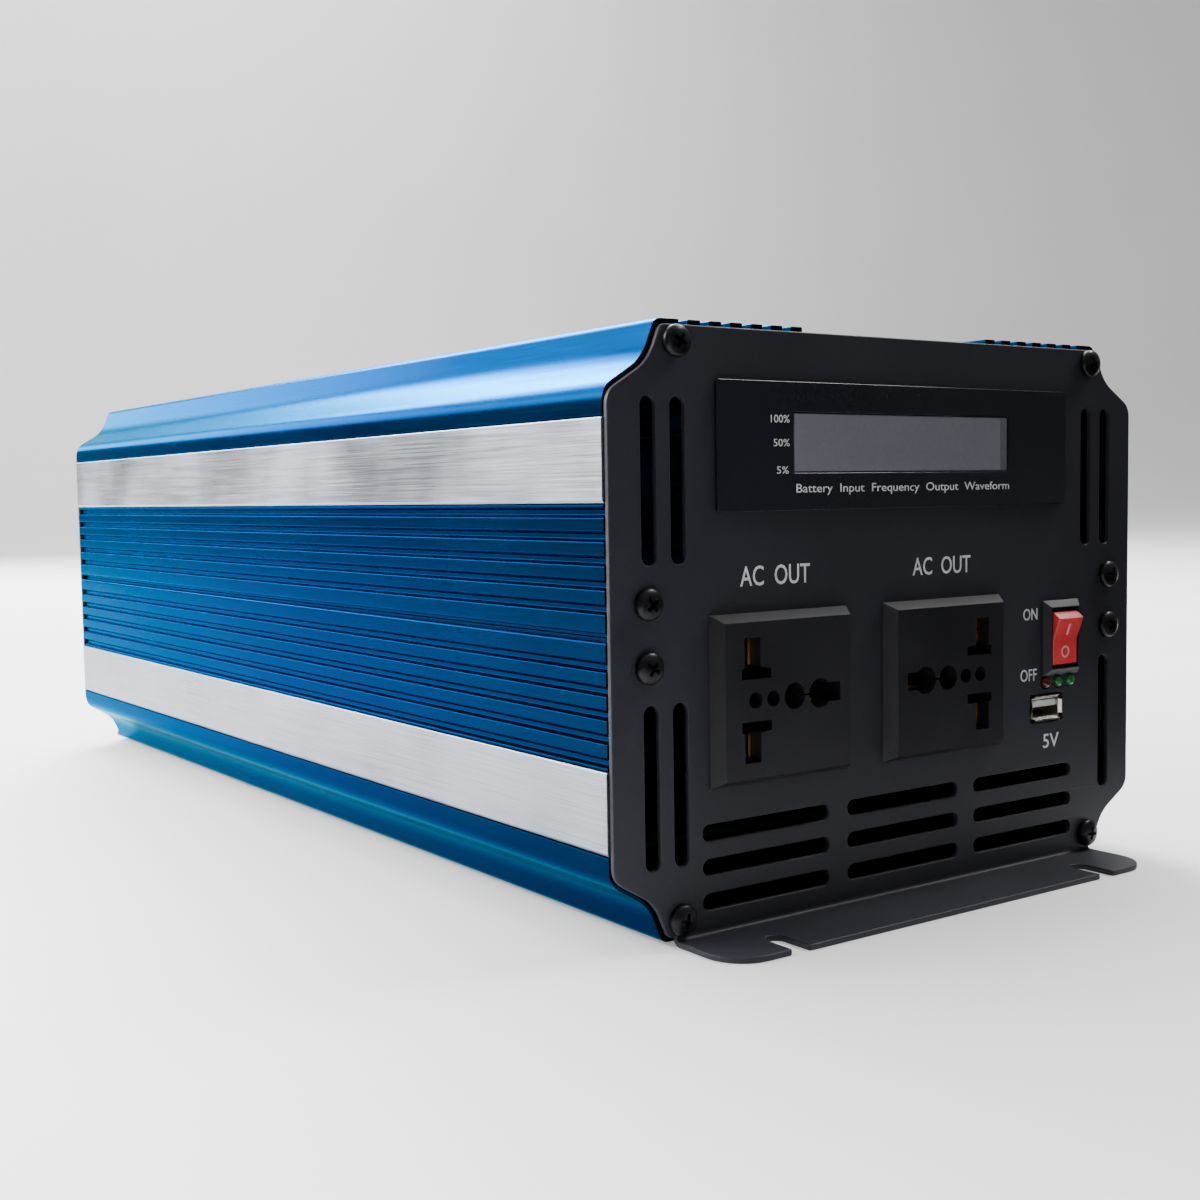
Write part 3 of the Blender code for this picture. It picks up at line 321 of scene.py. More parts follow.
looks = {
    # dyed sulphuric anodising on an extrusion: deep metal colour under a thin clear oxide,
    # with fine die lines that run along the case
    "blueAnodisedAluminium": {
        "slot": "blue_anodised_aluminium",
        "colours": ("#02182B", "#031F35"), "roughness": (0.22, 0.28), "grain": 0.5,
        "stretch": (1, 0.02, 1), "patch": 90, "bump": 0.25,
        "shader": {"Metallic": 1.0, "Specular Tint": (0.0, 0.55, 0.85, 1.0)}},
    # aluminium brushed with a belt along its length: fine long scratches, soft streaky shine
    "brushedAluminium": {
        "slot": "brushed_aluminium",
        "colours": ("#6F737A", "#A3A7AE"), "roughness": (0.24, 0.46), "grain": 0.35,
        "stretch": (1, 0.008, 1), "patch": 45, "detail": 6.0, "bump": 0.6, "depth": 0.03,
        "shader": {"Metallic": 1.0}},
    # epoxy powder coat on folded steel: very fine pimpled skin, dull and nearly black
    "blackPowderCoat": {
        "slot": "black_powder_coat",
        "colours": ("#25252C", "#2D2D35"), "roughness": (0.46, 0.58), "grain": 0.45,
        "patch": 70, "bump": 0.5, "depth": 0.06,
        "shader": {"IOR": 1.5, "Specular IOR Level": 0.25}},
    # black zinc on a pressed steel screw: dark with a thin metal glint on its edges
    "blackZincSteel": {
        "slot": "black_screw_steel",
        "colours": ("#17171A", "#2C2C31"), "roughness": (0.28, 0.44), "grain": 0.3,
        "patch": 3, "shader": {"Metallic": 0.75}},
    # polished ABS frame round the screen: mirror-like black with a slight blue cast
    "glossBlackAbs": {
        "slot": "gloss_black_plastic",
        "colours": ("#15161E", "#191A23"), "roughness": (0.16, 0.22), "grain": 1.2,
        "patch": 40, "bump": 0.06,
        "shader": {"IOR": 1.5, "Specular IOR Level": 0.3}},
    # polariser glass over an unlit display: even smoky grey
    "unlitDisplayGlass": {
        "slot": "screen_glass",
        "colours": ("#6A6C74", "#70727A"), "roughness": (0.2, 0.26), "grain": 1.0,
        "patch": 30, "bump": 0.05, "depth": 0.01, "shader": {"IOR": 1.5}},
    # the masked end of the display: a shade darker than the glass beside it
    "smokedDisplayEnd": {
        "colours": ("#55575E", "#5B5D64"), "roughness": (0.25, 0.32), "grain": 1.0,
        "patch": 10, "bump": 0.05, "depth": 0.01},
    # glass-filled nylon as it leaves the mould: satin black with a fine spark texture
    "mouldedBlackNylon": {
        "slot": "black_moulded_plastic",
        "colours": ("#16161A", "#1D1D22"), "roughness": (0.4, 0.5), "grain": 0.35,
        "patch": 25, "bump": 0.35, "depth": 0.03,
        "shader": {"IOR": 1.5, "Specular IOR Level": 0.3}},
    # rolled brass spring strip: warm orange yellow, lightly tarnished
    "rolledBrass": {
        "slot": "brass",
        "colours": ("#B77A33", "#DDA458"), "roughness": (0.25, 0.42), "grain": 0.25,
        "stretch": (1, 0.1, 1), "patch": 5,
        "shader": {"Metallic": 1.0}},
    # transparent red polycarbonate: bright soft red, lifted towards pink as a painted sheen over its own
    # red, with a moulded shine
    "redPolycarbonate": {
        "slot": "red_moulded_plastic",
        # the green and blue in these reds are painted sheen, a whitish haze over the plastic's own red
        "colours": ("#D6383C", "#E64248"), "roughness": (0.28, 0.36), "grain": 0.8,
        "patch": 12, "bump": 0.1,
        "shader": {"IOR": 1.58, "Specular IOR Level": 0.5}},
    # pad-printed mark on the rocker: thin pale pink ink
    "paleRockerInk": {
        "colours": ("#D09494", "#DCA6A6"), "roughness": (0.45, 0.6), "grain": 0.3,
        "patch": 3, "bump": 0.2, "depth": 0.01},
    # screen-printed white ink: flat, slightly grey white with a broken surface
    "whitePrintInk": {
        "colours": ("#BFC2C5", "#E4E6E8"), "roughness": (0.5, 0.7), "grain": 0.3,
        "patch": 6, "bump": 0.2, "depth": 0.01},
    # tinted epoxy of an unlit lamp: clear dark red with a wet highlight
    "redLampEpoxy": {
        "slot": "red_lamp_lens",
        "colours": ("#4A0008", "#5E0A10"), "roughness": (0.08, 0.14), "grain": 0.6,
        "patch": 2, "bump": 0.05, "depth": 0.01,
        "shader": {"IOR": 1.52, "Subsurface Weight": 0.3, "Subsurface Radius": (0.002, 0.0003, 0.0003)}},
    # the same epoxy tinted green
    "greenLampEpoxy": {
        "slot": "green_lamp_lens",
        "colours": ("#0F5A28", "#1F8040"), "roughness": (0.08, 0.14), "grain": 0.6,
        "patch": 2, "bump": 0.05, "depth": 0.01,
        "shader": {"IOR": 1.52, "Subsurface Weight": 0.3, "Subsurface Radius": (0.0003, 0.002, 0.0005)}},
    # nickel plate on a drawn steel shell: warm silver, softly polished
    "nickelPlatedSteel": {
        "slot": "bright_steel",
        "colours": ("#B5AFA7", "#D8D2C9"), "roughness": (0.2, 0.34), "grain": 0.3,
        "patch": 6, "bump": 0.2, "depth": 0.01, "shader": {"Metallic": 1.0}},
    # bright zinc on drawn wire: clear silver with fine draw marks
    "zincPlatedWire": {
        "slot": "guard_steel",
        "colours": ("#A9ABAD", "#CBCDCF"), "roughness": (0.2, 0.32), "grain": 0.4,
        "patch": 8, "bump": 0.2, "depth": 0.01, "shader": {"Metallic": 1.0}},
    # glass-filled PBT fan moulding: dull black with faint flow marks
    "mouldedBlackPbt": {
        "slot": "fan_plastic",
        "colours": ("#151517", "#1E1E20"), "roughness": (0.4, 0.55), "grain": 0.5,
        "stretch": (1, 1, 0.4), "patch": 18, "depth": 0.03, "shader": {"IOR": 1.6}},
    # red nylon bush round the positive stud: opaque red, satin
    "mouldedRedNylon": {
        "slot": "red_moulded_plastic",
        "colours": ("#A8141B", "#BC1E24"), "roughness": (0.35, 0.45), "grain": 0.4,
        "patch": 14, "depth": 0.03, "shader": {"IOR": 1.53}},
    # mill-finish extrusion: grey silver with drawn lines along it
    "millFinishAluminium": {
        "colours": ("#8E9094", "#B2B4B8"), "roughness": (0.34, 0.5), "grain": 0.5,
        "stretch": (1, 0.03, 1), "patch": 30, "bump": 0.4, "depth": 0.03,
        "shader": {"Metallic": 1.0}},
    # solder mask over etched copper: glossy green with lighter traces
    "greenSolderMask": {
        "colours": ("#06180D", "#0B2715"), "roughness": (0.3, 0.45), "grain": 2.2,
        "stretch": (1, 0.25, 1), "patch": 12, "bump": 0.5, "depth": 0.05,
        "shader": {"IOR": 1.55}},
    # sintered ferrite core with varnished winding: dark grey, slightly sparkling
    "sinteredFerrite": {
        "colours": ("#26262A", "#3A3A3E"), "roughness": (0.5, 0.7), "grain": 0.6,
        "patch": 10, "bump": 0.5, "depth": 0.05},
    # shrunk PVC sleeve: dark blue with a waxy shine
    "shrunkBlueSleeve": {
        "colours": ("#10183C", "#172250"), "roughness": (0.28, 0.4), "grain": 1.5,
        "stretch": (1, 1, 0.2), "patch": 12, "bump": 0.2, "depth": 0.03},
    # velvet over a card: swallows light, so what faces it stays black
    "blackVelvet": {
        "colours": ("#020202", "#050505"), "roughness": (0.85, 0.95), "grain": 3.0,
        "patch": 200, "bump": 0.1, "depth": 0.1, "shader": {"Specular IOR Level": 0.1}},
    # matt studio floor: pale, even, with the faintest mottling
    "paleStudioFloor": {
        "colours": ("#D9D9D9", "#DFDFDF"), "roughness": (0.6, 0.75), "grain": 4.0,
        "patch": 300, "bump": 0.05, "depth": 0.05,
        "shader": {"Emission Color": (1.0, 1.0, 1.0, 1.0), "Emission Strength": 0.3}},
}
materials = {name: finish(name, look) for name, look in looks.items()}
print("materials made:", len(materials))


# measures that the pieces share

plate = {
    "sheet": 1.5 * mm,
    "edge": 0.32 * mm,               # rounding of every cut edge
    "halfWidth": 93.6 * mm,
    "halfHeight": 71.5 * mm,
    "flangeDepth": 21.5 * mm,
    "flangeHalfWidth": 76.0 * mm,
    "flangeCorner": 10.0 * mm,
    # the three points of a corner, from the side to the top, with their rounding
    "brow": (55.8 * mm, 5 * mm), "shoulder": (81.8 * mm, 62.9 * mm, 12 * mm),
    "crown": (78.2 * mm, 2 * mm),
    "bendRadius": 1.0 * mm,
    "notch": (56.0 * mm, 5.2 * mm, 11.5 * mm),    # place across, width and depth
    "centreHeight": 74.0 * mm,
    "screws": ((74.4 * mm, 67.6 * mm), (83.3 * mm, 7.35 * mm)),
}
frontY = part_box("front_plate")[1].y - plate["sheet"]
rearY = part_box("rear_plate")[0].y + plate["sheet"]
frontPlace = Matrix.Translation((0, frontY, plate["centreHeight"]))
rearPlace = Matrix.Translation((0, rearY, plate["centreHeight"])) @ turnRound
screwPlaces = [(across * x, up * z) for x, z in plate["screws"]
               for across in (-1, 1) for up in (1, -1)]


def placed(mesh, place):
    mesh.transform(place)
    return mesh


def moved(mesh, x=0.0, y=0.0, z=0.0):
    return placed(mesh, Matrix.Translation((x, y, z)))


def onPlate(node):
    # a node's middle as (x, z) from the plate's centre
    low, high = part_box(node)
    return ((low.x + high.x) / 2, (low.z + high.z) / 2 - plate["centreHeight"])


def at(node):
    # moves a mesh made round the Y axis to the node's middle on the plate
    x, z = onPlate(node)
    return Matrix.Translation((x, 0, z + plate["centreHeight"]))


# case halves and trim strips, one section swept along the case

shell = {
    "side": 93.8 * mm, "innerSide": 84.4 * mm, "seamLip": 92.2 * mm, "seamHalfGap": 0.95 * mm,
    "seamRound": 0.7 * mm,
    "grooveStart": 6.6 * mm, "groovePitch": 5.5 * mm, "grooveCount": 5,
    "grooveWidth": 2.6 * mm, "grooveFloor": 1.0 * mm, "grooveDepth": 1.2 * mm,
    "grooveRound": 0.3 * mm,
    "trimLow": 30.4 * mm, "trimHigh": 50.5 * mm, "trimSeat": 1.5 * mm,
    "top": 72.9 * mm, "finFirst": 70.4 * mm, "finPitch": 6.4 * mm, "finCount": 6,
    "finGap": 2.6 * mm, "finFloor": 71.6 * mm, "finRound": 0.3 * mm,
    "panelHalf": 33.3 * mm, "panelTop": 71.4 * mm, "panelUnder": 68.8 * mm,
    "brow": (56.8 * mm, 5.5 * mm), "shoulder": (82.6 * mm, 63.6 * mm, 12 * mm),
    "crown": (78.8 * mm, 2.5 * mm),
    "boss": 4.2 * mm, "rib": (79.6 * mm, 3.7 * mm, 11 * mm), "innerBend": (56.5 * mm, 4 * mm),
    "chamber": (86.2 * mm, 90.6 * mm, 13 * mm, 53.5 * mm, 56 * mm),    # hollow in the side wall
    "portRadius": 1.9 * mm, "gap": 0.3 * mm, "trimBead": 0.75 * mm,
}


def mirrored(corners):
    return [(-x, y, radius) for x, y, radius in corners]


def shellSection():
    s = shell
    outer = [(s["seamLip"], s["gap"] / 2, 0), (s["seamLip"], s["seamHalfGap"], 0),
             (s["side"], s["seamHalfGap"], s["seamRound"])]
    for i in range(s["grooveCount"]):
        middle = s["grooveStart"] + i * s["groovePitch"]
        inside = s["side"] - s["grooveDepth"]
        outer += [(s["side"], middle - s["grooveWidth"] / 2, s["grooveRound"]),
                  (inside, middle - s["grooveFloor"] / 2, s["grooveRound"]),
                  (inside, middle + s["grooveFloor"] / 2, s["grooveRound"]),
                  (s["side"], middle + s["grooveWidth"] / 2, s["grooveRound"])]
    seat = s["side"] - s["trimSeat"]
    outer += [(s["side"], s["trimLow"], 0.2 * mm), (seat, s["trimLow"], 0),
              (seat, s["trimHigh"], 0), (s["side"], s["trimHigh"], 0.2 * mm),
              (s["side"], *s["brow"]), s["shoulder"], (s["crown"][0], s["top"], s["crown"][1])]
    for i in range(s["finCount"]):
        middle = s["finFirst"] - i * s["finPitch"]
        for way in (1, -1):
            rim = (middle + way * s["finGap"] / 2, s["top"], s["finRound"])
            root = (middle + way * s["finGap"] / 2, s["finFloor"], s["finRound"])
            outer += [rim, root] if way == 1 else [root, rim]
    outer += [(s["panelHalf"], s["top"], s["finRound"]), (s["panelHalf"], s["panelTop"], 0)]
    # the inside steps round the screw ports, one half way down the wall and one in the corner
    x, z = plate["screws"][0]
    boss = s["boss"]
    rib, ribLow, ribHigh = s["rib"]
    inner = [(s["innerSide"], s["gap"] / 2, 0), (s["innerSide"], ribLow, 0),
             (rib, ribLow, 1.5 * mm), (rib, ribHigh, 1.5 * mm),
             (s["innerSide"], ribHigh, 0), (s["innerSide"], *s["innerBend"]),
             (x + 4 * mm, z - boss, 2 * mm), (x - boss, z - boss, 1 * mm),
             (x - boss, s["panelUnder"], 0)]
    loops = [rounded(outer + mirrored(outer)[::-1] + mirrored(inner) + inner[::-1])]
    near, far, low, high, highest = s["chamber"]
    chamber = [(near, low, mm), (far, low, mm), (far, high, 2 * mm), (near, highest, mm)]
    loops += [rounded(chamber), rounded(mirrored(chamber))]
    return loops + [circle(s["portRadius"], 16, place) for place in screwPlaces if place[1] > 0]


def makeSweepTree():
    # a flat section filled and drawn out along the case
    tree, given = newTree("sweptSection", {"Length": "Float", "Centre": "Vector",
                                           "Turn": "Vector", "Finish": "Material"})
    filled = addNode(tree, "GeometryNodeFillCurve", {"Curve": given["Geometry"]})
    drawn = addNode(tree, "GeometryNodeExtrudeMesh",
                    {"Mesh": filled.outputs[0], "Offset Scale": given["Length"],
                     "Individual": False})
    back = addNode(tree, "GeometryNodeFlipFaces", {"Mesh": filled.outputs[0]})
    solid = addNode(tree, "GeometryNodeJoinGeometry", {"Geometry": [drawn.outputs[0],
                                                                    back.outputs[0]]})
    half = addNode(tree, "ShaderNodeMath", {0: given["Length"], 1: -0.5}, operation="MULTIPLY")
    shift = addNode(tree, "ShaderNodeCombineXYZ", {"Z": half.outputs[0]})
    centred = addNode(tree, "GeometryNodeTransform", {"Geometry": solid.outputs[0],
                                                      "Translation": shift.outputs[0]})
    turned = addNode(tree, "GeometryNodeTransform", {"Geometry": centred.outputs[0],
                                                     "Rotation": given["Turn"],
                                                     "Translation": given["Centre"]})
    endTree(tree, turned.outputs[0], given["Finish"])
    return tree


def makeCase():
    sweep = makeSweepTree()
    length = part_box("upper_shell")[1].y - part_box("upper_shell")[0].y
    section = outlineCurve(shellSection())
    for name, turn in (("upper", 0.0), ("lower", math.pi)):
        values = {"Length": length, "Centre": (0, 0, plate["centreHeight"]),
                  "Turn": (math.pi / 2, turn, 0.0), "Finish": materials["blueAnodisedAluminium"]}
        addPiece(name + "CaseHalf", grown(sweep, section, values), "blueAnodisedAluminium",
                 [name + "_shell"])
    for level in ("upper", "lower"):
        for side, way in (("left", -1), ("right", 1)):
            node = f"trim_strip_{level}_{side}"
            low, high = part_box(node)
            thick, tall = high.x - low.x, high.z - low.z
            bead = shell["trimBead"]
            corners = [(-thick / 2, -tall / 2, 0), (thick / 2 - bead * 0.7, -tall / 2, 0.15 * mm),
                       (thick / 2, -tall / 2 + bead, 0.25 * mm), (thick / 2, tall / 2, 0.4 * mm),
                       (-thick / 2, tall / 2, 0)]
            loop = rounded([(way * x, y, r) for x, y, r in corners])
            centre = (low + high) / 2
            values = {"Length": high.y - low.y, "Centre": tuple(centre),
                      "Turn": (math.pi / 2, 0.0, 0.0), "Finish": materials["brushedAluminium"]}
            addPiece(f"{level}{side.title()}TrimStrip", grown(sweep, outlineCurve([loop]), values),
                     "brushedAluminium", [node])


makeCase()
print("case halves and trim strips made")


# folded end plates

openings = {
    "screwHole": 2.3 * mm,
    "vent": (40.8 * mm, 4.0 * mm),
    "ventColumns": (-47.2 * mm, 0.0, 47.2 * mm),
    "ventTop": -48.2 * mm,
    "ventPitch": 8.35 * mm,
    "ventRows": 3,
    "louvre": (38.8 * mm, 4.3 * mm),
    "louvreMiddle": 35.6 * mm,
    "louvreOuter": 82.3 * mm,
    "louvreInner": 73.8 * mm,
    # width, height and corner of the cut-out behind each fitting
    "square": {"ac_socket_left": (39.2 * mm, 35.4 * mm, 0.6 * mm),
               "ac_socket_right": (39.2 * mm, 35.4 * mm, 0.6 * mm),
               "switch_body": (13.6 * mm, 19.4 * mm, 0.6 * mm),
               "charging_port": (14.0 * mm, 8.0 * mm, 0.5 * mm),
               "lcd_module": (81.4 * mm, 18.1 * mm, 1 * mm)},
    "lampHole": 1.95 * mm,
    "fanHole": 28.8 * mm,
    "terminalHole": 7.3 * mm,
}


def plateOutline():
    # the flat blank: the plate, and its flange below the bend line
    p = plate
    bendLine = p["centreHeight"] - p["sheet"] - p["bendRadius"]
    bendLength = math.pi / 2 * (p["bendRadius"] + p["sheet"] / 2)
    rim = -bendLine - bendLength - (p["flangeDepth"] - p["bendRadius"])
    x, width, depth = p["notch"]
    half = width / 2
    corner = [(p["halfWidth"], *p["brow"]), p["shoulder"],
              (p["crown"][0], p["halfHeight"], p["crown"][1])]
    right = [(x - half, rim, 0.8 * mm), (x - half, rim + depth, half * 0.99),
             (x + half, rim + depth, half * 0.99), (x + half, rim, 0.8 * mm),
             (p["flangeHalfWidth"], rim, p["flangeCorner"]),
             (p["flangeHalfWidth"], -p["halfHeight"], 0)]
    right += [(u, -v, radius) for u, v, radius in reversed(corner)] + corner
    return rounded(right + mirrored(right)[::-1], 8)


def foldedPlate(holes):
    p = plate
    mesh = outlineMesh([plateOutline()] + holes, p["sheet"], p["edge"])
    bendLine = -(p["centreHeight"] - p["sheet"] - p["bendRadius"])
    bendLength = math.pi / 2 * (p["bendRadius"] + p["sheet"] / 2)
    steps = 10
    bm = bmesh.new()
    bm.from_mesh(mesh)
    for i in range(steps + 1):
        level = Vector((0, 0, bendLine - bendLength * i / steps))
        geometry = bm.verts[:] + bm.edges[:] + bm.faces[:]
        bmesh.ops.bisect_plane(bm, geom=geometry, plane_co=level, plane_no=(0, 0, 1), dist=1e-7)
    for vertex in bm.verts:
        depth = vertex.co.y + p["sheet"] / 2
        below = bendLine - vertex.co.z
        vertex.co.y = depth
        if below > 0:
            radius = p["bendRadius"] + depth
            angle = min(below / bendLength, 1.0) * math.pi / 2
            straight = max(below - bendLength, 0.0)
            vertex.co.y = radius * math.cos(angle) - p["bendRadius"] - straight
            vertex.co.z = bendLine - radius * math.sin(angle)
    return meshFrom(bm)


def louvres(places):
    middle = openings["louvreMiddle"]
    return [slot(*openings["louvre"], (x, up * middle), True) for x, up in places]


def makePlates():
    o = openings
    holes = [circle(o["screwHole"], 24, place) for place in screwPlaces]
    holes += louvres([(x, up) for x in (-o["louvreOuter"], -o["louvreInner"], o["louvreOuter"])
                      for up in (1, -1)] + [(o["louvreInner"], 1)])
    for row in range(o["ventRows"]):
        z = o["ventTop"] - row * o["ventPitch"]
        holes += [slot(*o["vent"], (x, z)) for x in o["ventColumns"]]
    for node, (width, height, corner) in o["square"].items():
        holes.append(rounded(box2d(width, height, onPlate(node), corner)))
    holes += [circle(o["lampHole"], 24, onPlate(node)) for node in
              ("fault_lamp", "output_lamp", "input_lamp")]
    addPiece("frontPlate", placed(foldedPlate(holes), frontPlace), "blackPowderCoat",
             ["front_plate"])
    holes = [circle(o["screwHole"], 24, place) for place in screwPlaces]
    holes += louvres([(across * x, up) for x in (o["louvreOuter"], o["louvreInner"])
                      for across in (1, -1) for up in (1, -1)])
    for radius, steps, nodes in ((o["fanHole"], 64, ("fan_frame_left", "fan_frame_right")),
                                 (o["terminalHole"], 32, ("positive_terminal_stud",
                                                          "negative_terminal_stud"))):
        for x, z in map(onPlate, nodes):
            holes.append(circle(radius, steps, (-x, z)))
    addPiece("rearPlate", placed(foldedPlate(holes), rearPlace), "blackPowderCoat",
             ["rear_plate"])


makePlates()
print("folded end plates made")


# pan-head cross-recess screws

screw = {
    "head": 3.8 * mm, "rise": 2.4 * mm, "shank": 1.5 * mm, "length": 12 * mm, "lift": 0.3 * mm,
    "recess": (4.4 * mm, 1.0 * mm, 1.7 * mm), "seed": 7,
}


def screwMesh():
    head, rise, lift = screw["head"], screw["rise"], screw["lift"]
    dome = [(head * math.cos(a), -lift - 0.35 * rise - 0.65 * rise * math.sin(a))
            for a in (i * math.pi / 16 for i in range(9))]
    profile = dome[::-1] + [(head, -lift), (screw["shank"], -lift),
                            (screw["shank"], screw["length"] - 1.5 * mm), (0.0, screw["length"])]
    profile[0] = (0.0, profile[0][1])
    wide, narrow, deep = screw["recess"]
    top = -lift - rise - 0.2 * mm
    cutters = [taperMesh((wide * 0.45, narrow * 0.6), (wide, narrow), top + deep, top),
               taperMesh((narrow * 0.6, wide * 0.45), (narrow, wide), top + deep, top)]
    return carved(turnedMesh(profile, 32), cutters)


def makeScatterTree():
    # one object set down on every point, turned by the point's own attribute
    tree, given = newTree("fixings", {"Fixing": "Object", "Finish": "Material"})
    fixing = addNode(tree, "GeometryNodeObjectInfo", {"Object": given["Fixing"]})
    turn = addNode(tree, "GeometryNodeInputNamedAttribute", {"Name": "turn"},
                   data_type="FLOAT_VECTOR")
    put = addNode(tree, "GeometryNodeInstanceOnPoints",
                  {"Points": given["Geometry"], "Instance": fixing.outputs["Geometry"],
                   "Rotation": turn.outputs[0]})
    endTree(tree, put.outputs[0], given["Finish"])
    return tree


def scattered(tree, mesh, points, turns, material):
    places = bpy.data.meshes.new("places")
    places.from_pydata(points, [], [])
    attribute = places.attributes.new("turn", "FLOAT_VECTOR", "POINT")
    for item, turn in zip(attribute.data, turns):
        item.vector = turn
    source = linked(mesh)
    result = grown(tree, places, {"Fixing": source, "Finish": material})
    bpy.data.objects.remove(source)
    return result


def makeScrews(tree):
    draw = random.Random(screw["seed"])
    points, turns = [], []
    for y, facing in ((frontY, 0.0), (rearY, math.pi)):
        for x, z in screwPlaces:
            points.append((x, y, plate["centreHeight"] + z))
            turns.append((0.0, draw.uniform(0, math.pi / 2), facing))
    mesh = scattered(tree, screwMesh(), points, turns, materials["blackZincSteel"])
    nodes = [f"{end}_screw_{i}" for end in ("front", "rear") for i in range(1, 9)]
    addPiece("plateScrews", mesh, "blackZincSteel", nodes)


scatter = makeScatterTree()
makeScrews(scatter)
print("screws made")


# lettering and marks

def textMesh(words, left, right, low, high, y, weight):
    curve = bpy.data.curves.new("words", "FONT")
    curve.body = words
    curve.offset = weight
    curve.resolution_u = 3
    mesh = evaluated(linked(curve))
    xs = [v.co.x for v in mesh.vertices]
    ys = [v.co.y for v in mesh.vertices]
    thick = 0.03 * mm
    bm = bmesh.new()
    bm.from_mesh(mesh)
    bmesh.ops.remove_doubles(bm, verts=bm.verts, dist=1e-5)
    for vertex in bm.verts:
        across = (vertex.co.x - min(xs)) / (max(xs) - min(xs))
        up = (vertex.co.y - min(ys)) / (max(ys) - min(ys))
        vertex.co = (left + across * (right - left), y, low + up * (high - low))
    made = bmesh.ops.extrude_face_region(bm, geom=bm.faces[:])
    for item in made["geom"]:
        if isinstance(item, bmesh.types.BMVert):
            item.co.y -= thick
    return meshFrom(bm)


labels = [
    # words, left, right, low, high in millimetres from the plate's centre, heavier stroke
    ("AC  OUT", -55.4, -32.9, 10.1, 15.0, 0.006), ("AC  OUT", 3.3, 25.4, 10.2, 14.9, 0.006),
    ("ON", 47.0, 53.0, -4.3, -1.0, 0.006), ("OFF", 45.9, 52.8, -21.4, -18.0, 0.006),
    ("5V", 55.6, 62.4, -41.0, -37.0, 0.006),
]
displayLabels = [
    ("100%", -46.4, -40.4, 49.3, 51.2, 0.0), ("50%", -45.6, -40.4, 43.6, 45.4, 0.0),
    ("5%", -44.6, -40.8, 37.0, 38.8, 0.0),
    ("Battery  Input  Frequency  Output  Waveform", -38.3, 39.4, 31.7, 34.5, 0.0),
]


def makeLabels():
    for name, rows, y in (("plateLettering", labels, frontY),
                          ("displayLettering", displayLabels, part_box("display_bezel")[0].y)):
        meshes = [textMesh(words, a * mm, b * mm, plate["centreHeight"] + c * mm,
                           plate["centreHeight"] + d * mm, y, weight)
                  for words, a, b, c, d, weight in rows]
        addPiece(name, joined(meshes), "whitePrintInk")


makeLabels()
print("lettering made")


# display

display = {"edge": 0.22 * mm, "corner": 0.8 * mm, "gap": 0.3 * mm, "glassEdge": 0.2 * mm,
           "strip": 2.5 * mm, "stripInset": 0.25 * mm, "stripThick": 0.06 * mm}


def makeDisplay():
    d = display
    low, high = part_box("display_bezel")
    glassLow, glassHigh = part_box("lcd_module")
    size = glassHigh - glassLow
    outline = rounded(box2d(high.x - low.x, high.z - low.z, onPlate("display_bezel"),
                            d["corner"]))
    window = rounded(box2d(size.x + 2 * d["gap"], size.z + 2 * d["gap"],
                           onPlate("lcd_module"), 0.3 * mm))
    mesh = outlineMesh([outline, window], high.y - low.y, d["edge"])
    addPiece("displayBezel", moved(mesh, 0, (low.y + high.y) / 2, plate["centreHeight"]),
             "glossBlackAbs", ["display_bezel"])
    glass = boxMesh(size, (glassLow + glassHigh) / 2, d["glassEdge"])
    addPiece("displayGlass", glass, "unlitDisplayGlass", ["lcd_module"])
    # the darker strip at the glass's right end
    middle = (glassHigh.x - d["strip"] / 2 - d["stripInset"], glassLow.y,
              (glassLow.z + glassHigh.z) / 2)
    strip = boxMesh((d["strip"], d["stripThick"], size.z - 0.6 * mm), middle)
    addPiece("displayEnd", strip, "smokedDisplayEnd")


makeDisplay()
print("display made")


# universal sockets

socket = {
    "flange": (44.6 * mm, 41.6 * mm), "face": (40.4 * mm, 37.8 * mm), "rise": 3.6 * mm,
    "body": (38.4 * mm, 34.6 * mm), "depth": 26.0 * mm, "pinDepth": 17.0 * mm,
    "stem": 5.0 * mm, "stemX": -11.8 * mm, "bar": (-15.2 * mm, -5.9 * mm),
    "barLow": 5.1 * mm, "barHigh": 7.6 * mm, "stemHigh": 15.1 * mm,
    "smallPins": (-10.9 * mm, -5.3 * mm), "smallPin": 2.0 * mm,
    "roundX": 1.6 * mm, "roundPin": 3.3 * mm, "earthX": 10.0 * mm, "earthPin": 3.7 * mm,
    "earthHalf": 2.4 * mm, "earthEnd": 16.7 * mm, "edge": 0.22 * mm,
    "slit": (1.6 * mm, 4 * mm, 0.5 * mm), "slitX": 5.6 * mm,
    "leaf": (0.9 * mm, 12 * mm, 6.2 * mm), "leafDeep": 3.6 * mm,
    "prong": (3.6 * mm, 11 * mm, 0.8 * mm), "prongDeep": 5 * mm, "prongUp": 2.2 * mm,
}


def pinLoops(turn):
    s = socket
    stem = s["stem"] / 2
    shoulder = s["barHigh"] + 0.3 * mm
    blade = [(s["bar"][0], s["barLow"]), (s["bar"][1], s["barLow"]), (s["bar"][1], s["barHigh"]),
             (s["stemX"] + stem, shoulder), (s["stemX"] + stem, s["stemHigh"]),
             (s["stemX"] - stem, s["stemHigh"]), (s["stemX"] - stem, shoulder),
             (s["bar"][0], s["barHigh"])]
    mouth = math.asin(s["earthHalf"] / s["earthPin"])
    earth = arc(s["earthPin"], mouth, 2 * math.pi - mouth, 28, (s["earthX"], 0.0))
    earth += [(s["earthEnd"], -s["earthHalf"]), (s["earthEnd"], s["earthHalf"])]
    loops = [blade, [(x, -y) for x, y in blade][::-1], earth,
             circle(s["roundPin"], 36, (s["roundX"], 0.0))]
    loops += [circle(s["smallPin"], 28, (x, 0.0)) for x in s["smallPins"]]
    return [[(turn * x, y) for x, y in loop] for loop in loops]


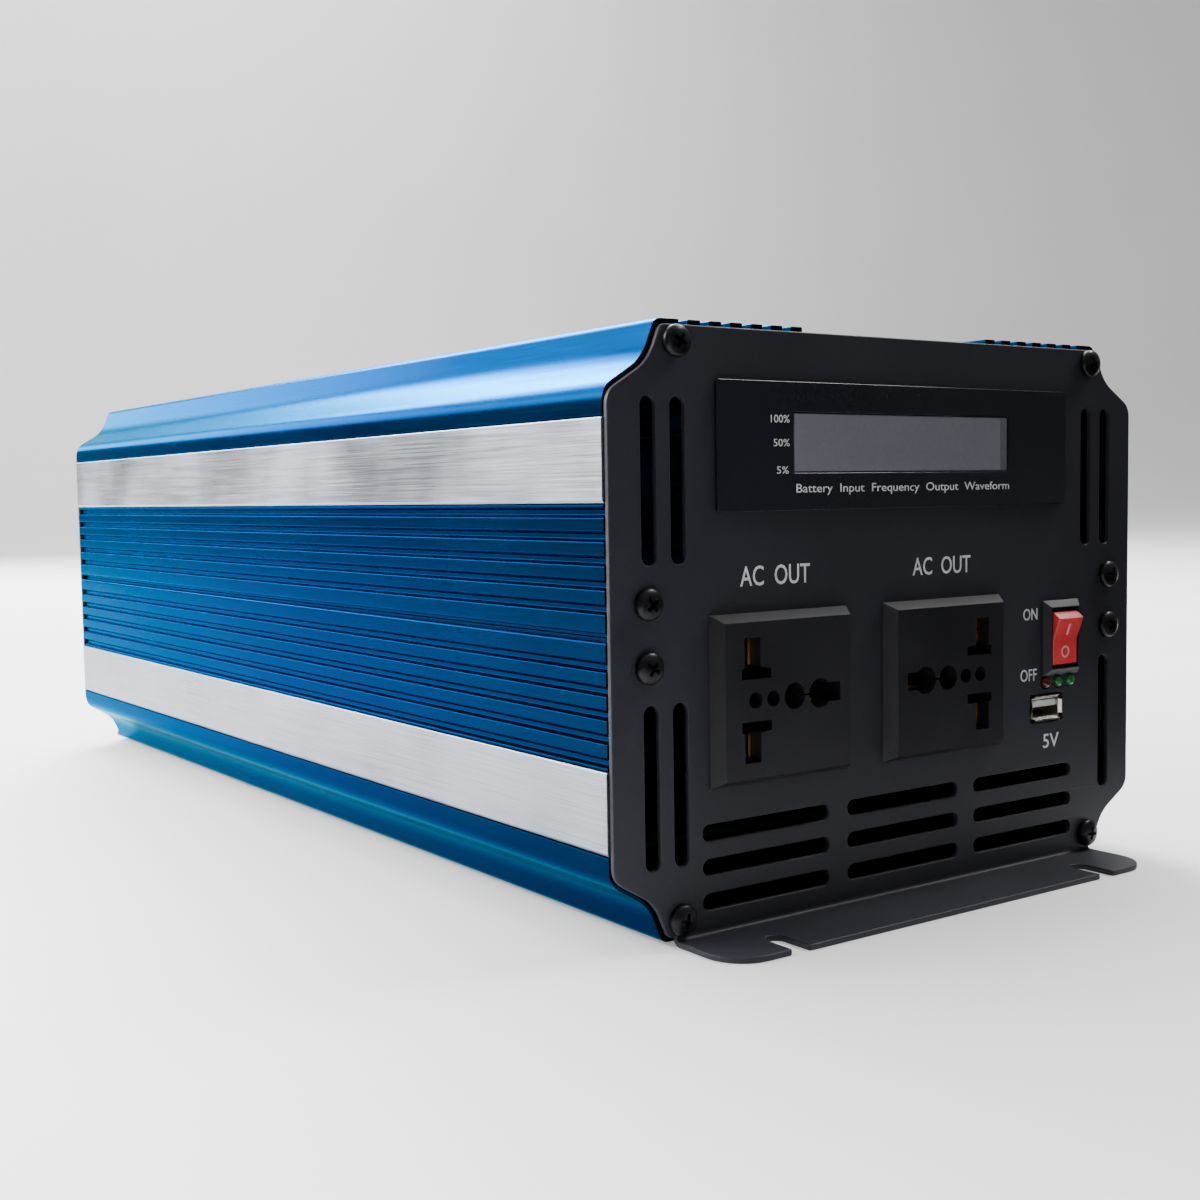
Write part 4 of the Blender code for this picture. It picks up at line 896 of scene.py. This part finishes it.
def makeSocket(side, turn):
    s = socket
    node = f"ac_socket_{side}"
    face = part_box(node)[0].y
    base = face + s["rise"]
    flange = taperMesh(s["flange"], s["face"], base, face)
    body = boxMesh((s["body"][0], s["depth"] + mm, s["body"][1]),
                   (0, base + s["depth"] / 2 - 0.5 * mm, 0))
    pins = [moved(outlineMesh([loop], s["pinDepth"] + 2 * mm), 0, face + s["pinDepth"] / 2 - mm)
            for loop in pinLoops(turn)]
    slit = boxMesh(s["slit"], (turn * s["slitX"], face + mm, 0))
    mesh = carved(flange, pins + [slit], [body], edge=s["edge"])
    addPiece(f"{side}Socket", placed(mesh, at(node)), "mouldedBlackNylon", [node])
    # springs: a leaf on each wall of the blade holes and two prongs in the earth hole
    springs = []
    for up in (1, -1):
        for way in (-1, 1):
            wall = turn * s["stemX"] + way * (s["stem"] / 2 - 0.5 * mm)
            springs.append(boxMesh(s["leaf"], (wall, face + s["leafDeep"] + s["leaf"][1] / 2,
                                               up * (s["barHigh"] + s["stemHigh"]) / 2), 0.2 * mm))
    for up in (1, -1):
        springs.append(boxMesh(s["prong"], (turn * s["earthX"],
                                            face + s["prongDeep"] + s["prong"][1] / 2,
                                            up * s["prongUp"]), 0.2 * mm))
    nodes = [f"socket_{side}_{kind}_contact" for kind in ("line", "neutral", "earth")]
    addPiece(f"{side}SocketSprings", placed(joined(springs), at(node)), "rolledBrass", nodes)


for side, turn in (("left", 1), ("right", -1)):
    makeSocket(side, turn)
print("sockets made")


# power switch

switch = {
    "rim": (15.4 * mm, 21.5 * mm), "top": (12.2 * mm, 17.6 * mm), "rise": 2.0 * mm,
    "well": (11.2 * mm, 12 * mm, 17.0 * mm), "wellDeep": 1.1 * mm,
    "body": (12.8 * mm, 18.6 * mm), "depth": 14.0 * mm, "bezelEdge": 0.15 * mm,
    "rockerWidth": 10.4 * mm, "rockerRadius": 8.2 * mm, "pivot": 1.9 * mm,
    "tilt": math.radians(10), "tip": math.radians(36.6), "skirt": math.radians(14.4),
    "root": 4.5 * mm, "edge": 0.35 * mm,
    "bar": (0.9 * mm, 3.4 * mm), "ring": (1.75 * mm, 1.15 * mm), "ink": 0.12 * mm,
}


def makeSwitchBezel():
    s = switch
    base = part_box("switch_body")[0].y + s["rise"]
    rim = taperMesh(s["rim"], s["top"], base, base - s["rise"])
    body = boxMesh((s["body"][0], s["depth"] + mm, s["body"][1]),
                   (0, base + s["depth"] / 2 - 0.5 * mm, 0))
    well = boxMesh(s["well"], (0, base + s["wellDeep"], 0))
    mesh = carved(rim, [well], [body], edge=s["bezelEdge"])
    addPiece("switchBezel", placed(mesh, at("switch_body")), "mouldedBlackNylon",
             ["switch_body"])


def makeRocker():
    # the side view about the pivot, as (up, outwards): two facets with a valley between
    s = switch
    radius, tip, tilt = s["rockerRadius"], s["tip"], s["tilt"]
    valley = radius * (math.sin(tip) - math.cos(tip) * math.tan(tilt))
    upEnd = arc(radius, tip, s["skirt"], 6)
    downEnd = [(-up, out) for up, out in reversed(upEnd)]
    loop = [(0.0, valley)] + upEnd + [(s["root"], -mm), (-s["root"], -mm)] + downEnd
    aside = Matrix.Rotation(math.pi / 2, 4, "Z") @ standUp @ Matrix.Diagonal((-1, 1, 1, 1))
    rocker = outlineMesh([[(out, up) for up, out in loop]], s["rockerWidth"], s["edge"], aside)
    # marks lie on the two facets: a bar above, a ring below
    reach = radius * math.cos(tip) * 0.5
    marks = []
    for up, loops in ((1, [rounded(box2d(*s["bar"], radius=0.2 * mm))]),
                      (-1, [circle(r, 32) for r in s["ring"]])):
        mark = placed(outlineMesh(loops, s["ink"], 0.02 * mm), Matrix.Rotation(up * tilt, 4, "X"))
        marks.append(moved(mark, 0, -valley - reach * math.tan(tilt), up * reach))
    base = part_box("switch_body")[0].y + s["rise"]
    pivot = at("switch_body") @ Matrix.Translation((0, base + s["pivot"], 0))
    pivot = pivot @ Matrix.Rotation(tilt, 4, "X")
    addPiece("redRocker", placed(rocker, pivot), "redPolycarbonate", ["switch_rocker"], "rocker")
    addPiece("rockerMarks", placed(joined(marks), pivot), "paleRockerInk", body="rocker")


makeSwitchBezel()
makeRocker()
print("switch made")


# lamps

lamp = {"radius": 1.65 * mm, "rise": 1.4 * mm, "stem": 3.9 * mm, "flange": 1.9 * mm}


def makeLamp(node, look):
    radius, rise, flange = lamp["radius"], lamp["rise"], lamp["flange"]
    low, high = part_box(node)
    dome = [(radius * math.sin(a), low.y + rise * (1 - math.cos(a)))
            for a in (i * math.pi / 20 for i in range(11))]
    base = low.y + rise + lamp["stem"]
    profile = dome + [(radius, base), (flange, base), (flange, high.y), (0.0, high.y)]
    addPiece(node.split("_")[0] + "Lamp", turnedMesh(profile, 32, at(node)), look, [node])


for node, look in (("fault_lamp", "redLampEpoxy"), ("output_lamp", "greenLampEpoxy"),
                   ("input_lamp", "greenLampEpoxy")):
    makeLamp(node, look)
print("lamps made")


# charging port

port = {
    "shell": (12.0 * mm, 5.8 * mm), "wall": 0.35 * mm, "lip": 0.7 * mm, "lipDepth": 0.9 * mm,
    "tongue": (11.1 * mm, 9.5 * mm, 1.8 * mm), "tongueDeep": 1.6 * mm, "tongueUp": 1.15 * mm,
    "contact": (1.1 * mm, 7.5 * mm, 0.25 * mm), "contactDeep": 2.0 * mm,
    "contacts": 4, "contactPitch": 2.4 * mm,
}


def lipMesh(across, up, length, front, tip):
    # a thin strip along one side of the mouth, bent outwards towards its tip
    p = port
    bm = bmesh.new()
    bmesh.ops.create_cube(bm, size=1.0)
    for vertex in bm.verts:
        along, deep, out = vertex.co
        reach = (p["shell"][1] if up else p["shell"][0]) / 2 + (out - 0.5) * p["wall"]
        if deep < 0:
            reach += p["lip"]
        y = front + 0.1 * mm if deep > 0 else tip
        run = along * length
        vertex.co = (run, y, up * reach) if up else (across * reach, y, run)
    bmesh.ops.bevel(bm, geom=bm.edges[:], offset=0.08 * mm, segments=2, affect="EDGES",
                    profile=0.5)
    return meshFrom(bm)


def makePort():
    p = port
    low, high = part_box("charging_port")
    place = at("charging_port")
    front = low.y + p["lipDepth"]
    width, height = p["shell"]
    wall = p["wall"]
    tube = outlineMesh([rounded(box2d(width, height, radius=0.5 * mm)),
                        rounded(box2d(width - 2 * wall, height - 2 * wall, radius=0.3 * mm))],
                       high.y - front, 0.05 * mm)
    back = boxMesh((width - 0.2 * mm, mm, height - 0.2 * mm), (0, high.y - 0.5 * mm, 0), 0.1 * mm)
    pieces = [moved(tube, 0, (front + high.y) / 2), back]
    for across, up, length in ((0, 1, width - 1.6 * mm), (0, -1, width - 1.6 * mm),
                               (1, 0, height - 1.8 * mm), (-1, 0, height - 1.8 * mm)):
        pieces.append(lipMesh(across, up, length, front, low.y))
    addPiece("portShell", placed(joined(pieces), place), "nickelPlatedSteel", ["charging_port"])
    long, tall = p["tongue"][1:]
    tongue = boxMesh(p["tongue"], (0, low.y + p["tongueDeep"] + long / 2, p["tongueUp"]), 0.15 * mm)
    addPiece("portTongue", placed(tongue, place), "whitePrintInk")
    strips = [boxMesh(p["contact"], ((i - (p["contacts"] - 1) / 2) * p["contactPitch"],
                                     low.y + p["contactDeep"] + p["contact"][1] / 2,
                                     p["tongueUp"] - tall / 2 - 0.1 * mm), 0.05 * mm)
              for i in range(p["contacts"])]
    addPiece("portContacts", placed(joined(strips), place), "rolledBrass")


makePort()
print("charging port made")


# fans

fan = {
    "size": 60 * mm, "depth": 25 * mm, "bore": 28.8 * mm, "corner": 4 * mm, "edge": 0.6 * mm,
    "holes": 25.0 * mm, "hole": 2.2 * mm, "hub": 14.0 * mm, "rotor": 27.6 * mm, "blades": 7,
    "strut": (2.6 * mm, 3.2 * mm), "strutDeep": 1.6 * mm, "hubDepth": 18 * mm,
    "rings": 4, "firstRing": 7.5 * mm, "ringStep": 6.4 * mm, "wire": 0.6 * mm,
    "reach": 23.4 * mm, "eye": (3.0 * mm, 1.6 * mm),
    # a blade's pitch in degrees and its chord, at the hub and at the tip, and its sweep in radians
    "pitch": (52, 36), "chord": (15 * mm, 19 * mm), "camber": 1.3 * mm, "thick": 1.1 * mm,
    "sweep": 0.35,
}


def makeGuardTree():
    # wire rings, crossed stays and a wire profile swept along them
    tree, given = newTree("fanGuard", {"Rings": "Int", "First Ring": "Float", "Ring Step": "Float",
                                       "Reach": "Float", "Wire": "Float", "Finish": "Material"})
    dots = addNode(tree, "GeometryNodeMeshLine", {"Count": given["Rings"], "Offset": (0, 0, 0)})
    index = addNode(tree, "GeometryNodeInputIndex")
    growth = addNode(tree, "ShaderNodeMath", {0: index.outputs[0], 1: given["Ring Step"],
                                              2: given["First Ring"]}, operation="MULTIPLY_ADD")
    unit = addNode(tree, "GeometryNodeCurvePrimitiveCircle", {"Resolution": 64, "Radius": 1.0})
    rings = addNode(tree, "GeometryNodeInstanceOnPoints",
                    {"Points": dots.outputs[0], "Instance": unit.outputs[0],
                     "Scale": growth.outputs[0]})
    loose = addNode(tree, "GeometryNodeRealizeInstances", {"Geometry": rings.outputs[0]})
    # stays run corner to corner, just behind the rings
    back = addNode(tree, "ShaderNodeMath", {0: given["Wire"], 1: -1.7}, operation="MULTIPLY")
    less = addNode(tree, "ShaderNodeMath", {0: given["Reach"], 1: -1.0}, operation="MULTIPLY")
    start = addNode(tree, "ShaderNodeCombineXYZ", {"X": less.outputs[0], "Y": less.outputs[0],
                                                   "Z": back.outputs[0]})
    end = addNode(tree, "ShaderNodeCombineXYZ", {"X": given["Reach"], "Y": given["Reach"],
                                                 "Z": back.outputs[0]})
    stay = addNode(tree, "GeometryNodeCurvePrimitiveLine", {"Start": start.outputs[0],
                                                            "End": end.outputs[0]})
    other = addNode(tree, "GeometryNodeTransform", {"Geometry": stay.outputs[0],
                                                    "Rotation": (0, 0, math.pi / 2)})
    wires = addNode(tree, "GeometryNodeJoinGeometry",
                    {"Geometry": [loose.outputs[0], stay.outputs[0], other.outputs[0]]})
    profile = addNode(tree, "GeometryNodeCurvePrimitiveCircle", {"Resolution": 10,
                                                                 "Radius": given["Wire"]})
    swept = addNode(tree, "GeometryNodeCurveToMesh",
                    {"Curve": wires.outputs[0], "Profile Curve": profile.outputs[0],
                     "Fill Caps": True})
    endTree(tree, swept.outputs[0], given["Finish"])
    return tree


def bladeMesh():
    # a thin blade, pitched and swept, that leans more at the hub than at the tip
    f = fan
    root, tip = f["hub"] - 0.6 * mm, f["rotor"]
    steps = 8
    bm = bmesh.new()
    sheets = []
    for side in (-1, 1):
        grid = []
        for i in range(steps + 1):
            share = i / steps
            radius = root + (tip - root) * share
            pitch = math.radians(f["pitch"][0] + (f["pitch"][1] - f["pitch"][0]) * share)
            chord = f["chord"][0] + (f["chord"][1] - f["chord"][0]) * share
            line = []
            for j in range(steps + 1):
                run = j / steps - 0.5
                lift = f["camber"] * (1 - 4 * run * run)
                lift += f["thick"] / 2 * (1 - 0.75 * abs(2 * run)) * side
                across = run * chord * math.cos(pitch) + lift * math.sin(pitch)
                deep = run * chord * math.sin(pitch) - lift * math.cos(pitch)
                angle = across / radius + f["sweep"] * share
                line.append(bm.verts.new((radius * math.cos(angle), deep,
                                          radius * math.sin(angle))))
            grid.append(line)
        sheets.append(grid)
        for i in range(steps):
            for j in range(steps):
                bm.faces.new((grid[i][j], grid[i + 1][j], grid[i + 1][j + 1], grid[i][j + 1]))
    low, high = sheets
    along = range(steps)
    back = range(steps, 0, -1)
    rim = [(i, 0) for i in along] + [(steps, j) for j in along]
    rim += [(i, steps) for i in back] + [(0, j) for j in back]
    for (a, b), (c, d) in zip(rim, rim[1:] + rim[:1]):
        bm.faces.new((low[a][b], low[c][d], high[c][d], high[a][b]))
    return meshFrom(bm)


def makeFanFrame(side, corners):
    f = fan
    node = f"fan_frame_{side}"
    low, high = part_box(node)
    loops = [rounded(box2d(f["size"], f["size"], radius=f["corner"]), 8), circle(f["bore"], 72)]
    loops += [circle(f["hole"], 20, corner) for corner in corners]
    pieces = [moved(outlineMesh(loops, f["depth"], f["edge"]), 0, (low.y + high.y) / 2)]
    # the motor's plate hangs on four struts
    inward, hub = low.y + f["strutDeep"], f["hub"]
    for i in range(4):
        strut = boxMesh((f["bore"] - hub + 2 * mm, *f["strut"]),
                        ((f["bore"] + hub) / 2, inward, 0), 0.5 * mm)
        pieces.append(placed(strut, Matrix.Rotation(math.pi / 4 + i * math.pi / 2, 4, "Y")))
    front, back = inward - 1.3 * mm, inward + 1.3 * mm
    pieces.append(turnedMesh([(0.0, front), (hub - 0.8 * mm, front), (hub, inward - 0.6 * mm),
                              (hub, back), (0.0, back)], 48))
    addPiece(f"{side}FanFrame", placed(joined(pieces), at(node)), "mouldedBlackPbt", [node])


def makeFanRotor(side):
    f = fan
    node = f"fan_rotor_{side}"
    low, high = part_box(node)
    hub, end = f["hub"], high.y
    profile = [(0.0, end - f["hubDepth"]), (hub, end - f["hubDepth"]), (hub, end - 1.6 * mm),
               (hub - 0.5 * mm, end - 0.5 * mm), (hub - 1.6 * mm, end),
               (9.0 * mm, end), (8.6 * mm, end - 0.4 * mm), (0.0, end - 0.4 * mm)]
    count = f["blades"]
    blades = scattered(scatter, bladeMesh(), [(0, (low.y + high.y) / 2, 0)] * count,
                       [(0, 2 * math.pi * i / count, 0) for i in range(count)],
                       materials["mouldedBlackPbt"])
    rotor = joined([turnedMesh(profile, 48), blades])
    addPiece(f"{side}FanRotor", placed(rotor, at(f"fan_frame_{side}")), "mouldedBlackPbt",
             [node], f"{side}_rotor")


def makeFanGuard(side, corners, guardTree):
    f = fan
    node = f"fan_guard_{side}"
    low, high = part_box(node)
    values = {"Rings": f["rings"], "First Ring": f["firstRing"], "Ring Step": f["ringStep"],
              "Reach": f["reach"], "Wire": f["wire"], "Finish": materials["zincPlatedWire"]}
    wires = grown(guardTree, bpy.data.meshes.new("empty"), values)
    pieces = [moved(placed(wires, turnRound @ standUp), 0, high.y - 0.4 * mm)]
    for corner in corners:
        eye = outlineMesh([circle(f["eye"][0], 24, corner), circle(f["eye"][1], 20, corner)],
                          1.1 * mm, 0.3 * mm)
        pieces.append(moved(eye, 0, low.y + 0.6 * mm))
    addPiece(f"{side}FanGuard", placed(joined(pieces), at(f"fan_frame_{side}")),
             "zincPlatedWire", [node])


guard = makeGuardTree()
fanCorners = [(i * fan["holes"], j * fan["holes"]) for i in (-1, 1) for j in (-1, 1)]
for side in ("left", "right"):
    makeFanFrame(side, fanCorners)
    makeFanRotor(side)
    makeFanGuard(side, fanCorners, guard)
print("fans made")


# battery terminals

terminal = {
    "bore": 4.3 * mm, "bush": 13.0 * mm, "neck": 7.0 * mm, "rise": 5.0 * mm,
    "ribs": 24, "ribCut": 0.5 * mm,
    "stud": 4.0 * mm, "root": 0.45 * mm, "shank": 26 * mm, "head": 8 * mm,
    "pitch": 1.25 * mm, "threaded": 18 * mm, "ridge": 0.5 * mm,
    "nut": 7.5 * mm, "nutDepth": 5.3 * mm, "nutChamfer": (7.3 * mm, 6.4 * mm, 0.9 * mm),
    "washer": 8.2 * mm, "washerThick": 1.1 * mm,
}


def makeThreadTree():
    # a spiral ridge wound round the stud
    tree, given = newTree("threadRidge", {"Turns": "Float", "Radius": "Float", "Height": "Float",
                                          "Ridge": "Float", "Finish": "Material"})
    spiral = addNode(tree, "GeometryNodeCurveSpiral",
                     {"Resolution": 24, "Rotations": given["Turns"],
                      "Start Radius": given["Radius"], "End Radius": given["Radius"],
                      "Height": given["Height"]})
    profile = addNode(tree, "GeometryNodeCurvePrimitiveCircle", {"Resolution": 4,
                                                                 "Radius": given["Ridge"]})
    swept = addNode(tree, "GeometryNodeCurveToMesh",
                    {"Curve": spiral.outputs[0], "Profile Curve": profile.outputs[0],
                     "Fill Caps": True})
    endTree(tree, swept.outputs[0], given["Finish"])
    return tree


def makeBush(kind, look):
    t = terminal
    low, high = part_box(f"{kind}_terminal_base")
    radius, bore, neck = t["bush"], t["bore"], t["neck"]
    face, seat = high.y, high.y - t["rise"]
    profile = [(bore, face), (bore + 3.4 * mm, face), (bore + 3.8 * mm, face - 0.5 * mm),
               (radius - 2.2 * mm, face - 0.5 * mm), (radius - 1.6 * mm, face),
               (radius - 1.0 * mm, face), (radius - 0.3 * mm, face - 0.3 * mm),
               (radius, face - mm), (radius, seat), (neck, seat), (neck, low.y), (bore, low.y)]
    mesh = turnedMesh(profile, 2 * t["ribs"])
    # every other point of the rim is drawn in, which leaves grip ribs
    for vertex in mesh.vertices:
        out = math.hypot(vertex.co.x, vertex.co.z)
        step = round(math.atan2(vertex.co.z, vertex.co.x) / (math.pi / t["ribs"]))
        if out > radius - 0.1 * mm and step % 2:
            vertex.co.x *= 1 - t["ribCut"] / out
            vertex.co.z *= 1 - t["ribCut"] / out
    addPiece(f"{kind}Bush", placed(mesh, at(f"{kind}_terminal_stud")), look,
             [f"{kind}_terminal_base"])


def makeStud(kind, thread):
    t = terminal
    node = f"{kind}_terminal_stud"
    low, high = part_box(node)
    core, end, shoulder = t["stud"] - t["root"], high.y, high.y - t["shank"]
    profile = [(0.0, end), (core - 0.6 * mm, end), (core, end - 0.7 * mm), (core, shoulder),
               (t["head"], shoulder), (t["head"], low.y), (0.0, low.y)]
    ridge = grown(thread, bpy.data.meshes.new("empty"),
                  {"Turns": t["threaded"] / t["pitch"], "Radius": core, "Height": t["threaded"],
                   "Ridge": t["ridge"], "Finish": materials["rolledBrass"]})
    ridge = moved(placed(ridge, standUp), 0, end - mm)
    addPiece(f"{kind}Stud", placed(joined([turnedMesh(profile, 48), ridge]), at(node)),
             "rolledBrass", [node])


def makeNut(kind):
    # a hexagon rounded off by a turned cone, over a plain washer
    t = terminal
    node = f"{kind}_terminal_nut"
    low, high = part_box(node)
    hexagon = outlineMesh([circle(t["nut"], 6), circle(t["bore"], 32)], t["nutDepth"])
    wide, narrow, bevel = t["nutChamfer"]
    top = high.y + 0.01 * mm
    cone = turnedMesh([(0.0, low.y - mm), (wide, low.y - mm), (wide, high.y - bevel),
                       (narrow, top), (0.0, top)], 48)
    nut = carved(moved(hexagon, 0, (low.y + high.y) / 2 + 0.6 * mm), limits=[cone])
    washer = outlineMesh([circle(t["washer"], 40), circle(t["bore"], 32)], t["washerThick"],
                         0.15 * mm)
    pieces = [nut, moved(washer, 0, low.y + 0.56 * mm)]
    addPiece(f"{kind}Nut", placed(joined(pieces), at(f"{kind}_terminal_stud")),
             "nickelPlatedSteel", [node])


thread = makeThreadTree()
for kind, look in (("positive", "mouldedRedNylon"), ("negative", "mouldedBlackNylon")):
    makeBush(kind, look)
    makeStud(kind, thread)
    makeNut(kind)
print("terminals made")


# what is inside keeps its shape and gets its finish

dress("greenSolderMask", "main_board", "display_board", "indicator_board")
dress("millFinishAluminium", "heatsink_left", "heatsink_right")
dress("sinteredFerrite", "transformer_left", "transformer_right")
dress("shrunkBlueSleeve", "bus_capacitor")
print("inside dressed")


# floor, light and camera

studio = {
    "half": 8.0, "back": 4.0, "sweep": 1.0, "wall": 5.0,
    "sky": (0.04, 0.5),                    # brightness at the horizon and straight up
    "backdrop": 0.75,                      # what the camera itself sees past the floor
    # black cards on the floor, out of the camera's view
    "cards": {"rightCard": ((-0.15, -3.0), (3.0, -3.0), (3.0, -0.16), (0.25, -0.16),
                            (-0.15, -0.43)),
              "leftCard": ((-2.5, -1.6), (-0.36, -1.6), (-0.33, -0.5), (-0.25, -0.2),
                           (-0.22, -0.05), (-2.5, -0.05))},
    # name, place, aim, width, height, power
    "lights": (("topSoftbox", (0.5, 0.65, 1.4), (0, 0.1, 0.1), 1.6, 1.4, 42.0),
               ("backSoftbox", (0.5, 1.9, 1.4), (0, 0, 0.1), 1.6, 0.5, 165.0),
               ("backLeftPanel", (-0.7, 1.9, 1.25), (0, 0, 0.1), 1.0, 0.5, 14.0),
               ("backLeftLowPanel", (-0.7, 1.9, 0.75), (0, 0, 0.1), 1.0, 0.5, 28.0),
               ("frontTopStrip", (0.95, -0.36, 1.25), (0.0, -0.21, 0.07), 0.5, 0.3, 19.0),
               ("floorKicker", (-0.5, 0.15, 0.4), (-0.12, -0.1, 0.0), 0.5, 0.3, 9.0),
               ("leftPanel", (-1.8, 1.4, 0.6), (0, 0, 0.07), 1.6, 1.1, 2.5),
               ("frontPanel", (1.6, -1.7, 0.5), (0, 0, 0.07), 1.0, 1.0, 0.2),
               ("wallWash", (1.2, 2.2, 2.6), (1.2, 4, 0.9), 2.4, 0.6, 90.0)),
}
viewpoint = {"place": (-0.2914, -0.4838, 0.1067), "yaw": 0.608, "pitch": 0.069, "roll": -0.016,
             "lens": 45.82, "sensor": 36.0}


def openBehind(material):
    # black only from above: light passes from beneath, so the floor under a card stays lit
    tree = material.node_tree
    behind = addNode(tree, "ShaderNodeNewGeometry").outputs["Backfacing"]
    clear = addNode(tree, "ShaderNodeBsdfTransparent")
    mixed = addNode(tree, "ShaderNodeMixShader",
                    {0: behind, 1: tree.nodes["Principled BSDF"].outputs[0], 2: clear.outputs[0]})
    tree.links.new(mixed.outputs[0], tree.nodes["Material Output"].inputs["Surface"])


def makeStudio():
    # the floor runs back and sweeps up into a wall
    half, back, sweep = studio["half"], studio["back"], studio["sweep"]
    line = [(-half, 0.0)] + [(back - sweep + u, sweep + v) for u, v in
                             arc(sweep, -math.pi / 2, 0.0, 16)] + [(back, studio["wall"])]
    count = len(line)
    mesh = bpy.data.meshes.new("floor")
    mesh.from_pydata([(x, y, z) for x in (-half, half) for y, z in line], [],
                     [(i, i + count, i + count + 1, i + 1) for i in range(count - 1)])
    mesh.shade_smooth()
    mesh.materials.append(materials["paleStudioFloor"])
    linked(mesh, "floor")
    openBehind(materials["blackVelvet"])
    for name, corners in studio["cards"].items():
        mesh = bpy.data.meshes.new(name)
        mesh.from_pydata([(x, y, mm) for x, y in corners], [], [range(len(corners))])
        mesh.materials.append(materials["blackVelvet"])
        card = linked(mesh, name)
        card.visible_camera = False
        card.visible_shadow = False                # lamps shine through it
    for name, place, aim, width, height, power in studio["lights"]:
        light = bpy.data.lights.new(name, "AREA")
        light.shape = "RECTANGLE"
        light.size = width
        light.size_y = height
        light.energy = power
        obj = linked(light, name)
        obj.location = place
        obj.visible_camera = False
        aimed = Vector(place) - Vector(aim)
        obj.rotation_euler = aimed.to_track_quat("Z", "Y").to_euler()


def makeSky():
    # dark at the horizon and pale overhead in what the case mirrors, even to the camera
    world = bpy.data.worlds.new("studio")
    world.use_nodes = True
    tree = world.node_tree
    ray = addNode(tree, "ShaderNodeTexCoord").outputs["Generated"]
    height = addNode(tree, "ShaderNodeSeparateXYZ", {"Vector": ray}).outputs["Z"]
    glow = addNode(tree, "ShaderNodeMapRange", {"Value": height, "To Min": studio["sky"][0],
                                                "To Max": studio["sky"][1]})
    seen = addNode(tree, "ShaderNodeLightPath").outputs["Is Camera Ray"]
    strength = addNode(tree, "ShaderNodeMix", {"Factor": seen, "A": glow.outputs[0],
                                               "B": studio["backdrop"]})
    background = tree.nodes["Background"].inputs
    tree.links.new(strength.outputs[0], background["Strength"])
    background["Color"].default_value = (1.0, 1.0, 1.0, 1.0)
    bpy.context.scene.world = world


def makeCamera():
    v = viewpoint
    forward = Vector((math.sin(v["yaw"]) * math.cos(v["pitch"]),
                      math.cos(v["yaw"]) * math.cos(v["pitch"]), -math.sin(v["pitch"])))
    right = Vector((math.cos(v["yaw"]), -math.sin(v["yaw"]), 0.0))
    up = right.cross(forward)
    across = math.cos(v["roll"]) * right + math.sin(v["roll"]) * up
    rise = math.cos(v["roll"]) * up - math.sin(v["roll"]) * right
    data = bpy.data.cameras.new("camera")
    data.lens = v["lens"]
    data.sensor_width = v["sensor"]
    camera = linked(data, "camera")
    place = Matrix((across, rise, -forward)).transposed().to_4x4()
    place.translation = v["place"]
    camera.matrix_world = place
    bpy.context.scene.camera = camera


makeStudio()
makeSky()
makeCamera()
print("studio and camera made")
